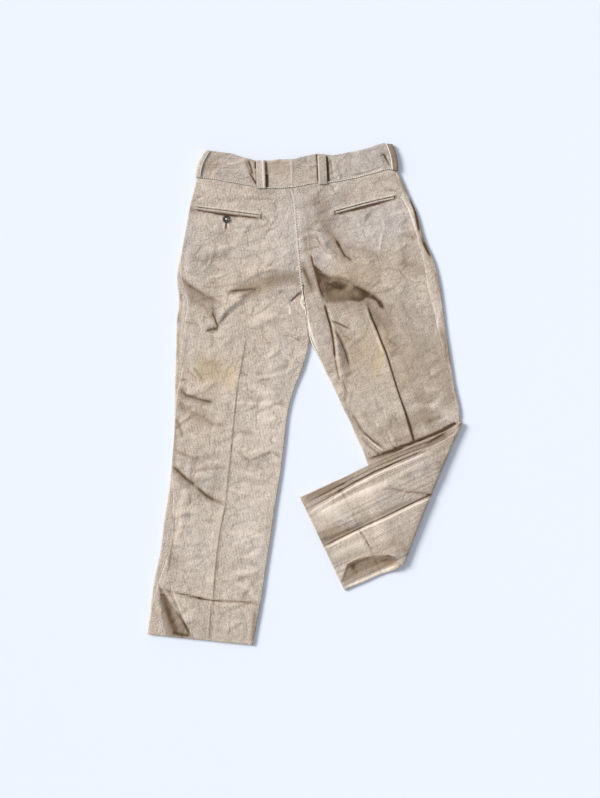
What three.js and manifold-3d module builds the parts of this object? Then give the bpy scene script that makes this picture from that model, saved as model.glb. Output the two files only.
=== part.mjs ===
// Corduroy trousers laid face down, the right leg folded over at the knee.
// Millimetres, +Z up, +Y towards the waist; the cloth rests on z = 0.
import * as THREE from "three";
import { mergeVertices } from "three/addons/utils/BufferGeometryUtils.js";
import Module from "manifold-3d";

// Driving dimensions
const CLOTH = 1.8; // wall of the corduroy
const BAND_CLOTH = 2.4; // wall of the waistband, two layers and a stiffener
const SEAM_GAP = 0.3; // between two pieces that are sewn together
const LEG_HEIGHT = 7; // two layers of cloth and the air between them
const WAIST_FLOOR = 2.8; // the waistband is raised by the front loops beneath it
const WAIST_TOP = 8.4;
const BAND_TOP = 8.6;
const WAIST_SLOPE = 60; // how far down the leg the rise to the waistband runs
const FOLD_AXIS = 7.5; // height of the line that the right leg is folded about
const SAG_RUN = 38; // the flap comes down to the floor within this distance
const CROTCH_Y = 222;
const SPLIT_Y = 113; // where the two inseams part
const ROW_STEP = 28;
const BUTTON = { diameter: 15.5, height: 3, hole: 1.9, spread: 2.1 };
const LOOP = { width: 20, cloth: 2, lift: 3 };
const WELT = { height: 4.2, cloth: 1.2, pitch: 4.8, clear: 0.4 };

// Rows across each leg: its outer and inner edge, and how far from the outer
// edge the side seam lies, measured round the cloth (positive on the back).
const ROW = { outerX: 0, outerY: 1, innerX: 2, innerY: 3, seam: 4 };
const LEFT_ROWS = [
  [-225, 455, -23, 434, 0],
  [-238, 406, -17, 381, 0],
  [-248, 354, -13, 329, 0],
  [-258, 301, -9, 274, 0],
  [-267, 249, -2, 222, 10],
  [-263, 196, 6, 167, 19],
  [-268, 144, 12, 114, 19],
  [-269, 91, 1, 62, 19],
  [-271, 39, -20, 9, 14],
  [-272, -14, -33, -41, 4],
  [-273, -77, -40, -102, 0],
  [-278, -140, -48, -165, 0],
  [-284, -203, -58, -228, 10],
  [-294, -266, -67, -291, 20],
  [-302, -329, -77, -354, 20],
  [-315, -392, -86, -417, 12],
  [-322, -444, -96, -469, 4],
  [-328, -497, -107, -524, 0],
];
const RIGHT_ROWS = [
  [197, 470, -23, 434, 6],
  [225, 423, -17, 381, 22],
  [239, 377, -13, 329, 12],
  [254, 327, -9, 274, 17],
  [275, 280, -2, 222, 25],
  [287, 232, 6, 167, 29],
  [294, 182, 14, 112, 23],
  [300, 133, 34, 72, 19],
  [306, 96, 50, 39, 14],
  [311, 62, 67, 5, 8],
  [316, 33, 82, -28, 4],
  [321, 5, 97, -58, 0],
  [325, -20, 111, -91, 0],
  [328, -39, 124, -119, 0],
  [329, -51, 136, -154, 0],
  [328, -59, 155, -207, 0],
  [326, -65, 173, -259, 0],
  [324, -70, 189, -312, -2],
  [321, -74, 204, -359, -4],
];
// The same leg past the fold, where it lies on itself with its front up.
const FLAP_ROWS = [
  [321, -74, 204, -359, -6],
  [303, -77, 198, -366, -14],
  [271, -88, 187, -371, -19],
  [225, -107, 170, -377, -21],
  [178, -129, 153, -383, -23],
  [130, -152, 136, -391, -25],
  [84, -175, 120, -398, -27],
  [38, -196, 103, -405, -29],
  [-8, -217, 86, -413, -31],
];
// The centre back seam and, past the crotch, the line where the inseams touch.
const MIDDLE = [
  [434, -23], [415, -20.4], [380, -17], [354, -15], [333, -13], [301, -10],
  [276, -8], [249, -6], [222, -2], [167, 6], [113, 13], [60, 22],
];
// The waistband's ends at the side (its lower and upper corner) and how far
// its two edges bow from straight, by the share of the way to the centre.
const BANDS = {
  left: {
    low: [-225, 455], high: [-204, 511.4], middleHigh: [-26.3, 492.5], bulge: -5,
    lowBow: [[0, 0], [0.19, 0], [0.34, -2.7], [0.55, -5.3], [0.68, -8.4], [0.87, -4.6], [1, 0]],
    highBow: [[0, 0], [0.27, -1.3], [0.49, -7.6], [0.57, -10.5], [0.72, -8], [0.87, -2.5], [1, 0]],
  },
  right: {
    low: [197, 470], high: [184, 527], middleHigh: [-26.3, 492.5], bulge: 3,
    lowBow: [[0, 0], [0.1, 5], [0.27, 1], [0.41, -2], [0.56, -3], [0.67, -2.7], [0.78, 1.7], [1, 0]],
    highBow: [[0, 0], [0.08, 3.6], [0.26, -2.4], [0.37, -6.3], [0.55, -9.5], [0.76, 2], [1, 0]],
  },
};
// Folds in the cloth: from (x1, y1) to (x2, y2), how wide and how high.
const FOLDS = [
  [-134, 412, -61, 412, 16, 1.8],
  [-225, 283, -151, 298, 15, -1.2],
  [-160, 236, -88, 260, 17, 3.4],
  [-88, 260, -8, 258, 15, 2.4],
  [-166, 222, -60, 250, 12, -1.4],
  [-252, 253, -172, 196, 16, 2.6],
  [55, 343, 103, 282, 16, 2.6],
  [16, 300, 30, 262, 12, -1.3],
  [28, 298, 52, 212, 14, 3.8],
  [60, 226, 168, 228, 15, 3.2],
  [50, 208, 160, 200, 13, -1.4],
  [149, 202, 170, 175, 14, 2],
  [-178, 150, -118, 203, 15, 3],
  [-239, 60, -212, 30, 13, -1.4],
  [-252, 3, -187, -12, 14, -1.4],
  [-250, -20, -187, -64, 14, 2.2],
  [-277, -119, -223, -133, 14, 2.4],
  [-239, -156, -164, -152, 16, -1.4],
  [-277, -152, -223, -194, 15, 2],
  [-134, -138, -71, -119, 15, 2.6],
  [-120, 28, -61, -5, 15, 3],
  [-105, -30, -57, -48, 13, -1.3],
  [46, 186, 60, 118, 14, 3.8],
  [60, 118, 76, 28, 13, 3],
  [58, 152, 95, 140, 12, 1.8],
  [101, -39, 149, -104, 14, 2.4],
  [-122, 117, -142, 18, 9, 1.6],
  [-142, 18, -164, -228, 9, 1.2],
  [-164, -228, -191, -434, 9, 1.4],
  [130, 201, 172, 76, 9, 1.8],
  [172, 76, 231, -98, 9, 1.5],
];
const FLAP_FOLDS = [
  [260, -214, 40, -322, 11, 2],
  [172, -208, 262, -204, 14, -1.2],
  [78, -386, 200, -344, 15, 2.2],
  [30, -245, 210, -145, 10, 1.4],
];
const FOLD = { x1: 0, y1: 1, x2: 2, y2: 3, width: 4, height: 5 };

const COLOURS = {
  cord: 0xbba88f, band: 0xab977c, button: 0x3b322b,
};

const smooth = (from, to, x) => {
  const t = Math.min(1, Math.max(0, (x - from) / (to - from)));
  return t * t * (3 - 2 * t);
};
const mix = (a, b, t) => a + (b - a) * t;

// A value from a table of [position, value] pairs, eased from one to the next.
function eased(table, at) {
  for (let i = 1; i < table.length; i++) {
    const [x0, y0] = table[i - 1], [x1, y1] = table[i];
    if ((at - x0) * (at - x1) <= 0) return mix(y0, y1, smooth(x0, x1, at));
  }
  const start = Math.abs(at - table[0][0]) < Math.abs(at - table.at(-1)[0]);
  return start ? table[0][1] : table.at(-1)[1];
}

// A smooth curve through the middle line, as x at a height y.
function middleX(y) {
  const heights = MIDDLE.map((p) => p[0]);
  let i = heights.findIndex((h, n) => n > 0 && y >= h);
  if (i < 0) i = heights.length - 1;
  const at = (n) => MIDDLE[Math.min(MIDDLE.length - 1, Math.max(0, n))];
  const slope = (n) => (at(n + 1)[1] - at(n - 1)[1]) / (at(n + 1)[0] - at(n - 1)[0]);
  const [h0, x0] = at(i - 1), [h1, x1] = at(i), run = h1 - h0;
  const t = Math.min(1, Math.max(0, (y - h0) / run)), u = 1 - t;
  return (1 + 2 * t) * u * u * x0 + t * u * u * run * slope(i - 1)
    + t * t * (3 - 2 * t) * x1 - t * t * u * run * slope(i);
}

// Rows between the table's own, by a Catmull-Rom curve through each column.
function spline(table, count) {
  const rows = [];
  for (let n = 0; n < count; n++) {
    const at = (n / (count - 1)) * (table.length - 1);
    const i = Math.min(table.length - 2, Math.floor(at)), t = at - i;
    const row = (k) => table[Math.min(table.length - 1, Math.max(0, k))];
    rows.push(row(i).map((_, column) => {
      const [p0, p1, p2, p3] = [-1, 0, 1, 2].map((k) => row(i + k)[column]);
      return 0.5 * (2 * p1 + (p2 - p0) * t + (2 * p0 - 5 * p1 + 4 * p2 - p3) * t * t
        + (3 * p1 - p0 - 3 * p2 + p3) * t * t * t);
    }));
  }
  return rows;
}

function distanceTo([x1, y1, x2, y2], x, y) {
  const dx = x2 - x1, dy = y2 - y1;
  const t = Math.min(1, Math.max(0, ((x - x1) * dx + (y - y1) * dy) / (dx * dx + dy * dy)));
  return Math.hypot(x - x1 - dx * t, y - y1 - dy * t);
}

function relief(folds, x, y) {
  let height = 0;
  for (const fold of folds)
    height += fold[FOLD.height] * Math.exp(-((distanceTo(fold, x, y) / fold[FOLD.width]) ** 2));
  return Math.max(-1.3, Math.min(4.5, height));
}

// The fold of the right leg: its axis in plan, and the way out from the leg.
const foldRow = RIGHT_ROWS.at(-1);
const foldRun = new THREE.Vector2(
  foldRow[ROW.innerX] - foldRow[ROW.outerX], foldRow[ROW.innerY] - foldRow[ROW.outerY]).normalize();
const foldOut = new THREE.Vector2(-foldRun.y, foldRun.x);
// The inner edge of the right leg under the flap, and the flap's upper edge.
const LEG_EDGE = { x: 132, y: -146, toX: 204, toY: -359 };
const FLAP_EDGE = { x: 321, y: -74, toX: -8, toY: -217 };
function leftOf(edge, x, y) {
  const dx = edge.toX - edge.x, dy = edge.toY - edge.y;
  return ((x - edge.x) * dy - (y - edge.y) * dx) / Math.hypot(dx, dy);
}
const sag = (x, y) => (2 * FOLD_AXIS - LEG_HEIGHT) * smooth(1, SAG_RUN, leftOf(LEG_EDGE, x, y));

// One row of the leg's closed section, ready to place points of it in space.
class Section {
  constructor(values, options) {
    Object.assign(this, { turn: 0, side: 1, bow: () => 0, top: LEG_HEIGHT, floor: 0 }, options);
    this.outer = new THREE.Vector2(values[ROW.outerX], values[ROW.outerY]);
    this.inner = new THREE.Vector2(values[ROW.innerX], values[ROW.innerY]);
    this.seam = values[ROW.seam];
    this.width = this.outer.distanceTo(this.inner);
    this.along = this.inner.clone().sub(this.outer).divideScalar(this.width);
    this.radius = (this.top - this.floor) / 2;
    this.closed = this.closed ?? 1;
    this.bend = (this.closed * Math.PI) / 2;
    this.lead = 2.4 * (1 - this.closed);
    this.flatEnd = this.width - this.radius * Math.sin(this.bend) - this.lead;
  }

  // Round the outer edge: run is measured from the outermost point.
  outerPoint(run) {
    const up = run < 0 ? -1 : 1, r = this.radius, quarter = (r * Math.PI) / 2;
    const angle = Math.min(Math.abs(run), quarter) / r;
    return {
      s: r * (1 - Math.cos(angle)) + Math.max(0, Math.abs(run) - quarter),
      z: this.floor + r + up * r * Math.sin(angle), ns: -Math.cos(angle), nz: up * Math.sin(angle),
    };
  }

  // Towards the inner edge: share runs from 0 on the flat to 1 at the seam.
  innerPoint(share, up) {
    const angle = this.bend * share, r = this.radius;
    const edge = up > 0 ? this.top : this.floor;
    return {
      s: this.flatEnd + this.lead * share + r * Math.sin(angle) - this.trim * share,
      z: edge - up * r * (1 - Math.cos(angle)), ns: Math.sin(angle), nz: up * Math.cos(angle),
    };
  }

  // One panel's points across the row, on the top (up = 1) or underneath (-1).
  across(up, columns) {
    const start = this.seam + (up * SEAM_GAP) / 2, step = 1.2;
    const runs = [start, ...[-5.5, -1.8, 1.8, 5.5].map((guide, j) =>
      up * Math.max(guide, up * start + step * (j + 1)))];
    const points = runs.map((run) => this.outerPoint(run));
    const from = points.at(-1).s;
    for (let j = 1; j <= columns; j++)
      points.push({ s: mix(from, this.flatEnd, j / columns), z: up > 0 ? this.top : this.floor, ns: 0, nz: up });
    for (let j = 1; j <= 3; j++) points.push(this.innerPoint(j / 3, up));
    // The inseam's two edges keep the seam gap between them.
    const last = points.at(-1);
    last.z += up * this.closed * SEAM_GAP * 0.5;
    return points;
  }

  place(s, z) {
    const share = s / this.width;
    const x = this.outer.x + this.along.x * s, y = this.outer.y + this.along.y * s + this.bow(share);
    if (!this.turn) return [x, y, z];
    const arm = FOLD_AXIS - z;
    if (this.turn === 1) return [x, y, FOLD_AXIS + arm - sag(x, y)];
    const angle = this.turn * Math.PI;
    return [x + foldOut.x * arm * Math.sin(angle), y + foldOut.y * arm * Math.sin(angle),
      FOLD_AXIS - arm * Math.cos(angle)];
  }
}
Section.prototype.trim = 0;

// A wall of cloth: the grid of its outer face, the same grid moved inwards,
// and the four edges between them.
function wallGeometry(outerFace, innerFace) {
  const rows = outerFace.length, columns = outerFace[0].length, layer = rows * columns;
  const positions = [...outerFace.flat(), ...innerFace.flat()].flat(), faces = [];
  const at = (r, c, inner = 0) => inner * layer + r * columns + c;
  const quad = (a, b, c, d) => faces.push(a, b, c, a, c, d);
  for (let r = 0; r < rows - 1; r++)
    for (let c = 0; c < columns - 1; c++) {
      quad(at(r, c), at(r, c + 1), at(r + 1, c + 1), at(r + 1, c));
      quad(at(r, c, 1), at(r + 1, c, 1), at(r + 1, c + 1, 1), at(r, c + 1, 1));
    }
  const lastRow = rows - 1, lastColumn = columns - 1;
  for (let c = 0; c < lastColumn; c++) {
    quad(at(0, c + 1), at(0, c), at(0, c, 1), at(0, c + 1, 1));
    quad(at(lastRow, c), at(lastRow, c + 1), at(lastRow, c + 1, 1), at(lastRow, c, 1));
  }
  for (let r = 0; r < lastRow; r++) {
    quad(at(r, 0), at(r + 1, 0), at(r + 1, 0, 1), at(r, 0, 1));
    quad(at(r + 1, lastColumn), at(r, lastColumn), at(r, lastColumn, 1), at(r + 1, lastColumn, 1));
  }
  let volume = 0;
  const a = new THREE.Vector3(), b = new THREE.Vector3(), c = new THREE.Vector3();
  for (let i = 0; i < faces.length; i += 3) {
    [a, b, c].forEach((v, n) => v.fromArray(positions, 3 * faces[i + n]));
    volume += a.dot(b.cross(c));
  }
  if (volume < 0)
    for (let i = 0; i < faces.length; i += 3) [faces[i + 1], faces[i + 2]] = [faces[i + 2], faces[i + 1]];
  return new THREE.BufferGeometry()
    .setAttribute("position", new THREE.Float32BufferAttribute(positions, 3)).setIndex(faces);
}

// A panel's two faces, from its sections, with the folds of the cloth in it.
function panelFaces(sections, up, columns, folds, cloth = CLOTH) {
  const outerFace = [], innerFace = [];
  for (const section of sections) {
    const outerRow = [], innerRow = [];
    for (const point of section.across(up, columns)) {
      const [x, y, z] = section.place(point.s, point.z);
      const [ix, iy, iz] = section.place(point.s - point.ns * cloth, point.z - point.nz * cloth);
      const fromOuter = smooth(2, 26, point.s), fromInner = smooth(0, 26, section.width - point.s);
      const fade = fromOuter * mix(1, fromInner, section.closed) * (section.calm ?? 1);
      const flat = fade && section.still ? smooth(6, 44, leftOf(FLAP_EDGE, x, y)) : 1;
      const lift = folds ? relief(folds, x, y) * fade * flat : 0;
      outerRow.push([x, y, z + lift]);
      innerRow.push([ix, iy, iz + lift]);
    }
    outerFace.push(outerRow);
    innerFace.push(innerRow);
  }
  return { outerFace, innerFace };
}

const cord = (name, colour) => new THREE.MeshStandardMaterial({ name, color: colour, roughness: 0.95, metalness: 0 });
const materials = {
  cord: cord("corduroy", COLOURS.cord), band: cord("waistband", COLOURS.band),
  button: new THREE.MeshStandardMaterial({ name: "button", color: COLOURS.button, roughness: 0.4, metalness: 0 }),
};
const trousers = new THREE.Group();
function add(name, geometry, material = materials.cord) {
  const mesh = new THREE.Mesh(geometry, material);
  mesh.name = name;
  trousers.add(mesh);
  return mesh;
}

// ---- Leg panels
function legSections(table, side, band) {
  const length = Math.abs(table[0][ROW.innerY] - table.at(-1)[ROW.innerY]);
  const count = Math.round(length / ROW_STEP) + 1;
  return spline(table, count).map((values) => {
    const y = values[ROW.innerY];
    const nearMiddle = middleX(y) + side * 0.3;
    if (y > SPLIT_Y) values[ROW.innerX] = nearMiddle;
    else values[ROW.innerX] = side < 0
      ? Math.min(values[ROW.innerX], nearMiddle) : Math.max(values[ROW.innerX], nearMiddle);
    const down = table[0][ROW.innerY] - y, rise = 1 - smooth(0, WAIST_SLOPE, down);
    const bowed = 1 - smooth(0, 75, down);
    return new Section(values, {
      side, closed: 1 - smooth(CROTCH_Y - 22, CROTCH_Y + 16, y),
      top: mix(LEG_HEIGHT, WAIST_TOP, rise), floor: WAIST_FLOOR * rise,
      bow: (share) => bowed * eased(band.lowBow, share), calm: smooth(4, 34, down), still: side > 0,
    });
  });
}

const leftSections = legSections(LEFT_ROWS, -1, BANDS.left);
const rightLeg = legSections(RIGHT_ROWS, 1, BANDS.right);
const bendSections = [0.25, 0.5, 0.75].map((turn) => {
  const values = foldRow.map((value, n) => mix(value, FLAP_ROWS[0][n], turn));
  return new Section(values, { turn, calm: 0 });
});
const flapSections = spline(FLAP_ROWS, 15).map((values, n) =>
  new Section(values, { turn: 1, calm: smooth(0, 3, n) }));
const rightSections = [...rightLeg, ...bendSections, ...flapSections];

function addPanel(name, sections, up, columns, folds) {
  const faces = panelFaces(sections, up, columns, folds);
  add(name, wallGeometry(faces.outerFace, faces.innerFace));
  return faces.outerFace;
}
const backLeft = addPanel("back_left", leftSections, 1, 12, FOLDS);
addPanel("front_left", leftSections, -1, 5, null);
// Past the fold the back of the right leg is underneath, so only its upper part is creased.
const backRight = addPanel("back_right", [
  ...rightLeg, ...[...bendSections, ...flapSections].map((section) => Object.assign(
    Object.create(Section.prototype), section, { calm: 0 })),
], 1, 10, FOLDS);
addPanel("front_right", [
  ...rightLeg.map((section) => Object.assign(Object.create(Section.prototype), section, { calm: 0 })),
  ...bendSections, ...flapSections,
], -1, 9, FLAP_FOLDS);

// ---- Waistband: each half is one strip from the centre back, round the side,
// to the centre front.
function bandSection(band, side, share, options = {}) {
  const start = 0.5 * (1 - share);
  const lowMiddle = [middleX(434) + side * 0.2, 434];
  const values = [
    mix(band.low[0], band.high[0], share) + band.bulge * Math.sin(Math.PI * share),
    mix(band.low[1], band.high[1], share) + start,
    mix(lowMiddle[0], band.middleHigh[0] + side * 0.2, share),
    mix(lowMiddle[1], band.middleHigh[1], share) + start, 0,
  ];
  return new Section(values, {
    closed: 0, top: BAND_TOP, floor: WAIST_FLOOR,
    bow: (f) => mix(eased(band.lowBow, f), eased(band.highBow, f), share), ...options,
  });
}
const BAND_ROWS = [0, 0.25, 0.5, 0.75, 1];
function bandRing(section, topColumns, floorColumns) {
  const beneath = section.across(-1, floorColumns).slice(1).reverse();
  const above = section.across(1, topColumns).slice(1);
  return [...beneath, section.outerPoint(0), ...above];
}
for (const [name, band] of Object.entries(BANDS)) {
  const side = name === "left" ? -1 : 1;
  const outerFace = [], innerFace = [];
  for (const share of BAND_ROWS) {
    const section = bandSection(band, side, share);
    const ring = bandRing(section, side < 0 ? 12 : 10, side < 0 ? 5 : 9);
    outerFace.push(ring.map((p) => section.place(p.s, p.z)));
    innerFace.push(ring.map((p) => section.place(p.s - p.ns * BAND_CLOTH, p.z - p.nz * BAND_CLOTH)));
  }
  add("waistband_" + name, wallGeometry(outerFace, innerFace), materials.band);
}

// ---- Belt loops. Those on the back arch over the band, those at the sides
// go round its edge, and those at the front lie flat beneath it.
const BACK_LOOPS = { left: { x: -90.5, low: 431.5, high: 492 }, right: { x: 39.5, low: 440, high: 502 } };
for (const [name, loop] of Object.entries(BACK_LOOPS)) {
  const outerFace = [], innerFace = [];
  for (const [share, lift] of [[0, 0], [0.07, 0], [0.2, 0.75], [0.5, 1], [0.8, 0.75], [0.93, 0], [1, 0]]) {
    const z = BAND_TOP + 0.35 + LOOP.lift * lift, y = mix(loop.low, loop.high, share);
    const xs = [-0.5, -0.2, 0.2, 0.5].map((w) => loop.x + w * LOOP.width);
    outerFace.push(xs.map((x) => [x, y, z + LOOP.cloth]));
    innerFace.push(xs.map((x) => [x, y, z]));
  }
  add("loop_back_" + name, wallGeometry(outerFace, innerFace));
}
const SIDE_LOOPS = { left: { beneath: -11, above: 10 }, right: { beneath: -7, above: 14 } };
for (const [name, loop] of Object.entries(SIDE_LOOPS)) {
  const outerFace = [], innerFace = [];
  for (const [share, lift] of [[0.01, 0], [0.08, 0], [0.25, 0.8], [0.5, 1], [0.75, 0.8], [0.93, 0], [1, 0]]) {
    const section = bandSection(BANDS[name], name === "left" ? -1 : 1, share);
    const outerRow = [], innerRow = [];
    for (const run of [loop.beneath, -5.5, -3.2, -1.1, 1.1, 3.2, 5.5, loop.above]) {
      const p = section.outerPoint(run), off = 0.55 + 1.6 * lift * smooth(-3, 4, run);
      innerRow.push(section.place(p.s + p.ns * off, p.z + p.nz * off));
      outerRow.push(section.place(p.s + p.ns * (off + LOOP.cloth), p.z + p.nz * (off + LOOP.cloth)));
    }
    outerFace.push(outerRow);
    innerFace.push(innerRow);
  }
  add("loop_side_" + name, wallGeometry(outerFace, innerFace));
}
for (const [name, x, y] of [["left", -118, 466], ["right", 72, 471]]) {
  const geometry = new THREE.BoxGeometry(LOOP.width, 52, 2.4);
  geometry.translate(x, y, 1.2);
  add("loop_front_" + name, geometry);
}

// ---- Back pockets: each mouth has an upper and a lower welt laid on the seat.
function surfaceZ(face, x, y) {
  for (let r = 0; r < face.length - 1; r++)
    for (let c = 0; c < face[0].length - 1; c++) {
      const corners = [face[r][c], face[r][c + 1], face[r + 1][c + 1], face[r + 1][c]];
      for (const [p, q, w] of [[corners[0], corners[1], corners[2]], [corners[0], corners[2], corners[3]]]) {
        const area = (q[0] - p[0]) * (w[1] - p[1]) - (w[0] - p[0]) * (q[1] - p[1]);
        if (Math.abs(area) < 1e-6) continue;
        const u = ((x - p[0]) * (w[1] - p[1]) - (w[0] - p[0]) * (y - p[1])) / area;
        const v = ((q[0] - p[0]) * (y - p[1]) - (x - p[0]) * (q[1] - p[1])) / area;
        if (u >= -1e-6 && v >= -1e-6 && u + v <= 1 + 1e-6)
          return p[2] + u * (q[2] - p[2]) + v * (w[2] - p[2]);
      }
    }
  throw new Error("no cloth at " + x + ", " + y);
}
const POCKETS = {
  left: { face: backLeft, mouth: [[-230, 394], [-195, 390], [-160, 386], [-125, 381.5], [-90, 377]] },
  right: { face: backRight, mouth: [[65, 384], [97, 393.5], [128, 402], [160, 410], [190, 416]] },
};
for (const [name, { face, mouth }] of Object.entries(POCKETS)) {
  const line = new THREE.SplineCurve(mouth.map(([x, y]) => new THREE.Vector2(x, y)));
  for (const [welt, offset] of [["upper", 0], ["lower", WELT.pitch]]) {
    const outerFace = [], innerFace = [], steps = 20;
    for (let n = 0; n <= steps; n++) {
      const p = line.getPoint(n / steps), t = line.getTangent(n / steps);
      const outerRow = [], innerRow = [];
      for (const w of [-0.5, 0.5]) {
        const down = offset + w * WELT.height;
        const x = p.x + t.y * down, y = p.y - t.x * down, z = surfaceZ(face, x, y) + WELT.clear;
        outerRow.push([x, y, z + WELT.cloth]);
        innerRow.push([x, y, z]);
      }
      outerFace.push(outerRow);
      innerFace.push(innerRow);
    }
    add("pocket_" + name + "_welt_" + welt, wallGeometry(outerFace, innerFace));
  }
}

// ---- The button on the left back pocket, dished, with four holes.
const wasm = await Module();
wasm.setup();
function solid(geometry) {
  const bare = geometry.clone();
  for (const name of Object.keys(bare.attributes)) if (name !== "position") bare.deleteAttribute(name);
  const merged = mergeVertices(bare, 1e-4);
  return new wasm.Manifold(new wasm.Mesh({
    numProp: 3, vertProperties: merged.attributes.position.array, triVerts: new Uint32Array(merged.index.array),
  }));
}
const r = BUTTON.diameter / 2, h = BUTTON.height;
const profile = [[0, 0], [r * 0.72, 0], [r * 0.96, h * 0.35], [r, h * 0.6], [r * 0.94, h * 0.92],
  [r * 0.82, h], [r * 0.68, h * 0.86], [r * 0.58, h * 0.66], [0, h * 0.62]];
const disc = new THREE.LatheGeometry(profile.map(([x, y]) => new THREE.Vector2(x, y)), 28);
let buttonSolid = solid(disc.rotateX(Math.PI / 2));
if (buttonSolid.volume() < 0) throw new Error("button profile runs the wrong way");
for (const [sx, sy] of [[1, 1], [1, -1], [-1, 1], [-1, -1]]) {
  const hole = new THREE.CylinderGeometry(BUTTON.hole / 2, BUTTON.hole / 2, 4 * h, 8);
  hole.rotateX(Math.PI / 2).translate(sx * BUTTON.spread, sy * BUTTON.spread, 0);
  buttonSolid = buttonSolid.subtract(solid(hole));
}
const made = buttonSolid.getMesh();
const buttonGeometry = new THREE.BufferGeometry()
  .setAttribute("position", new THREE.BufferAttribute(made.vertProperties, 3))
  .setIndex(new THREE.BufferAttribute(made.triVerts, 1));
const BUTTON_AT = { x: -162.8, y: 368.6 };
const around = [[0, 0], [7, 0], [-7, 0], [0, 7], [0, -7], [5, 5], [-5, 5], [5, -5], [-5, -5]];
const clothTop = Math.max(...around.map(([dx, dy]) => surfaceZ(backLeft, BUTTON_AT.x + dx, BUTTON_AT.y + dy)));
add("pocket_button", buttonGeometry, materials.button)
  .position.set(BUTTON_AT.x, BUTTON_AT.y, clothTop + 0.6);

// The origin is the middle of the whole outline, on the floor.
const box = new THREE.Box3().setFromObject(trousers);
const middle = box.getCenter(new THREE.Vector3());
for (const mesh of trousers.children) mesh.position.add(new THREE.Vector3(-middle.x, -middle.y, -box.min.z));

export default trousers;
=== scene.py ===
"""Corduroy trousers laid face down, the right leg folded over at the knee."""
import math

import bmesh
import bpy
import numpy as np
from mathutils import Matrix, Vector


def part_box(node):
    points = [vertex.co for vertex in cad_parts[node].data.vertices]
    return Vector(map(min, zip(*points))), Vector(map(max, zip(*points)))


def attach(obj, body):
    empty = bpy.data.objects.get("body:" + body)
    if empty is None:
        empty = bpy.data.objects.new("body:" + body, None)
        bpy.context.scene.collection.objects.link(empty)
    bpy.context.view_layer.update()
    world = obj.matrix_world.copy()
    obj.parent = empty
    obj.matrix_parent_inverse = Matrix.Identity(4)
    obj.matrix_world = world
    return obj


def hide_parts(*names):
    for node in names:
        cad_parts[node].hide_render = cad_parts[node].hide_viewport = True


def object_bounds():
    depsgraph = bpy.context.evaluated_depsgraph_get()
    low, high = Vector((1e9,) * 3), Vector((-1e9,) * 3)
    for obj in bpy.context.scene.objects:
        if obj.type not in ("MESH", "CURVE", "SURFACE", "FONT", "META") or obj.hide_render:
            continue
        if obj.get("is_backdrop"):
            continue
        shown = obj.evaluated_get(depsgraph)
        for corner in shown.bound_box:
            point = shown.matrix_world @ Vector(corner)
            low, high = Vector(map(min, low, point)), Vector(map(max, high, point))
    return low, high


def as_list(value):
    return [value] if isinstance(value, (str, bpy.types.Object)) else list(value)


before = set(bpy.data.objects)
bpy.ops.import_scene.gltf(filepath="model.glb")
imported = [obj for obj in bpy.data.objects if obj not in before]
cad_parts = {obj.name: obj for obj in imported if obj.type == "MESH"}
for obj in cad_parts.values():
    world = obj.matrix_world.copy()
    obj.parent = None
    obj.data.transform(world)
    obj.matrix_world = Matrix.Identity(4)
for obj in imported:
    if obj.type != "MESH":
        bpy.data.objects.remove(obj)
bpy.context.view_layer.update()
MM = 0.001

# ---------------------------------------------------------------- sizes, in mm
RIB = 3.175  # eight ribs to the inch
RIB_STEPS = 3  # points across one rib
RIB_DEPTH = 0.32
CLOTH = 1.6  # how far the hem's double edge stands in
LOWEST = -0.2  # how deep the cloth may press into the table
LEG_HEIGHT = 7.0
WAIST_FLOOR, WAIST_TOP, BAND_TOP = 2.8, 8.4, 8.6
WAIST_SLOPE = 60.0  # the run over which a leg rises to the waistband
FOLD_AXIS = 7.5  # the height that the right leg turns over about
FRONT_ARC, BACK_ARC = 14.0, 1.6  # cloth taken up going round the fold
SAG_RUN = 38.0  # the run over which the flap comes down beside the leg
CROTCH_Y, SPLIT_Y = 222.0, 113.0  # where the seat ends and the legs part
MIDDLE_GAP = 0.3  # half the gap between the two halves at the middle seam
HEM_DEPTH = 86.0
# Creases, seams and marks are placed on a layout grid of 2.1 mm squares.
SQUARE = 2.1
GRID_MIDDLE = np.array([304.0, 393.5])

# Rows down each leg: its outer edge, its inner edge and how far round the cloth
# the side seam lies. FLAP_ROWS goes on from RIGHT_ROWS past the fold.
LEFT_ROWS = np.array([
    [-225, 455, -23, 434, 0], [-238, 406, -17, 381, 0], [-248, 354, -13, 329, 0],
    [-258, 301, -9, 274, 0], [-267, 249, -2, 222, 10], [-263, 196, 6, 167, 19],
    [-268, 144, 12, 114, 19], [-269, 91, 1, 62, 19], [-271, 39, -20, 9, 14],
    [-272, -14, -33, -41, 4], [-273, -77, -40, -102, 0], [-278, -140, -48, -165, 0],
    [-284, -203, -58, -228, 10], [-294, -266, -67, -291, 20], [-302, -329, -77, -354, 20],
    [-315, -392, -86, -417, 12], [-322, -444, -96, -469, 4], [-329, -505, -107, -528, 0],
], float)
RIGHT_ROWS = np.array([
    [197, 470, -23, 434, 6], [219, 423, -17, 381, 14], [240, 377, -13, 329, 9],
    [254, 327, -9, 274, 17], [275, 280, -2, 222, 25], [287, 232, 6, 167, 29],
    [294, 182, 14, 112, 23], [300, 133, 34, 72, 19], [306, 96, 50, 39, 14],
    [311, 62, 67, 5, 8], [316, 33, 82, -28, 4], [321, 5, 97, -58, 0],
    [327, -20, 111, -91, 0], [329.5, -36, 124, -119, 0], [330, -44, 136, -154, 0],
    [329.8, -48, 155, -207, 0], [329.4, -51, 173, -259, 0], [328.8, -54, 189, -312, -2],
    [328, -57, 204, -359, -4],
], float)
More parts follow.
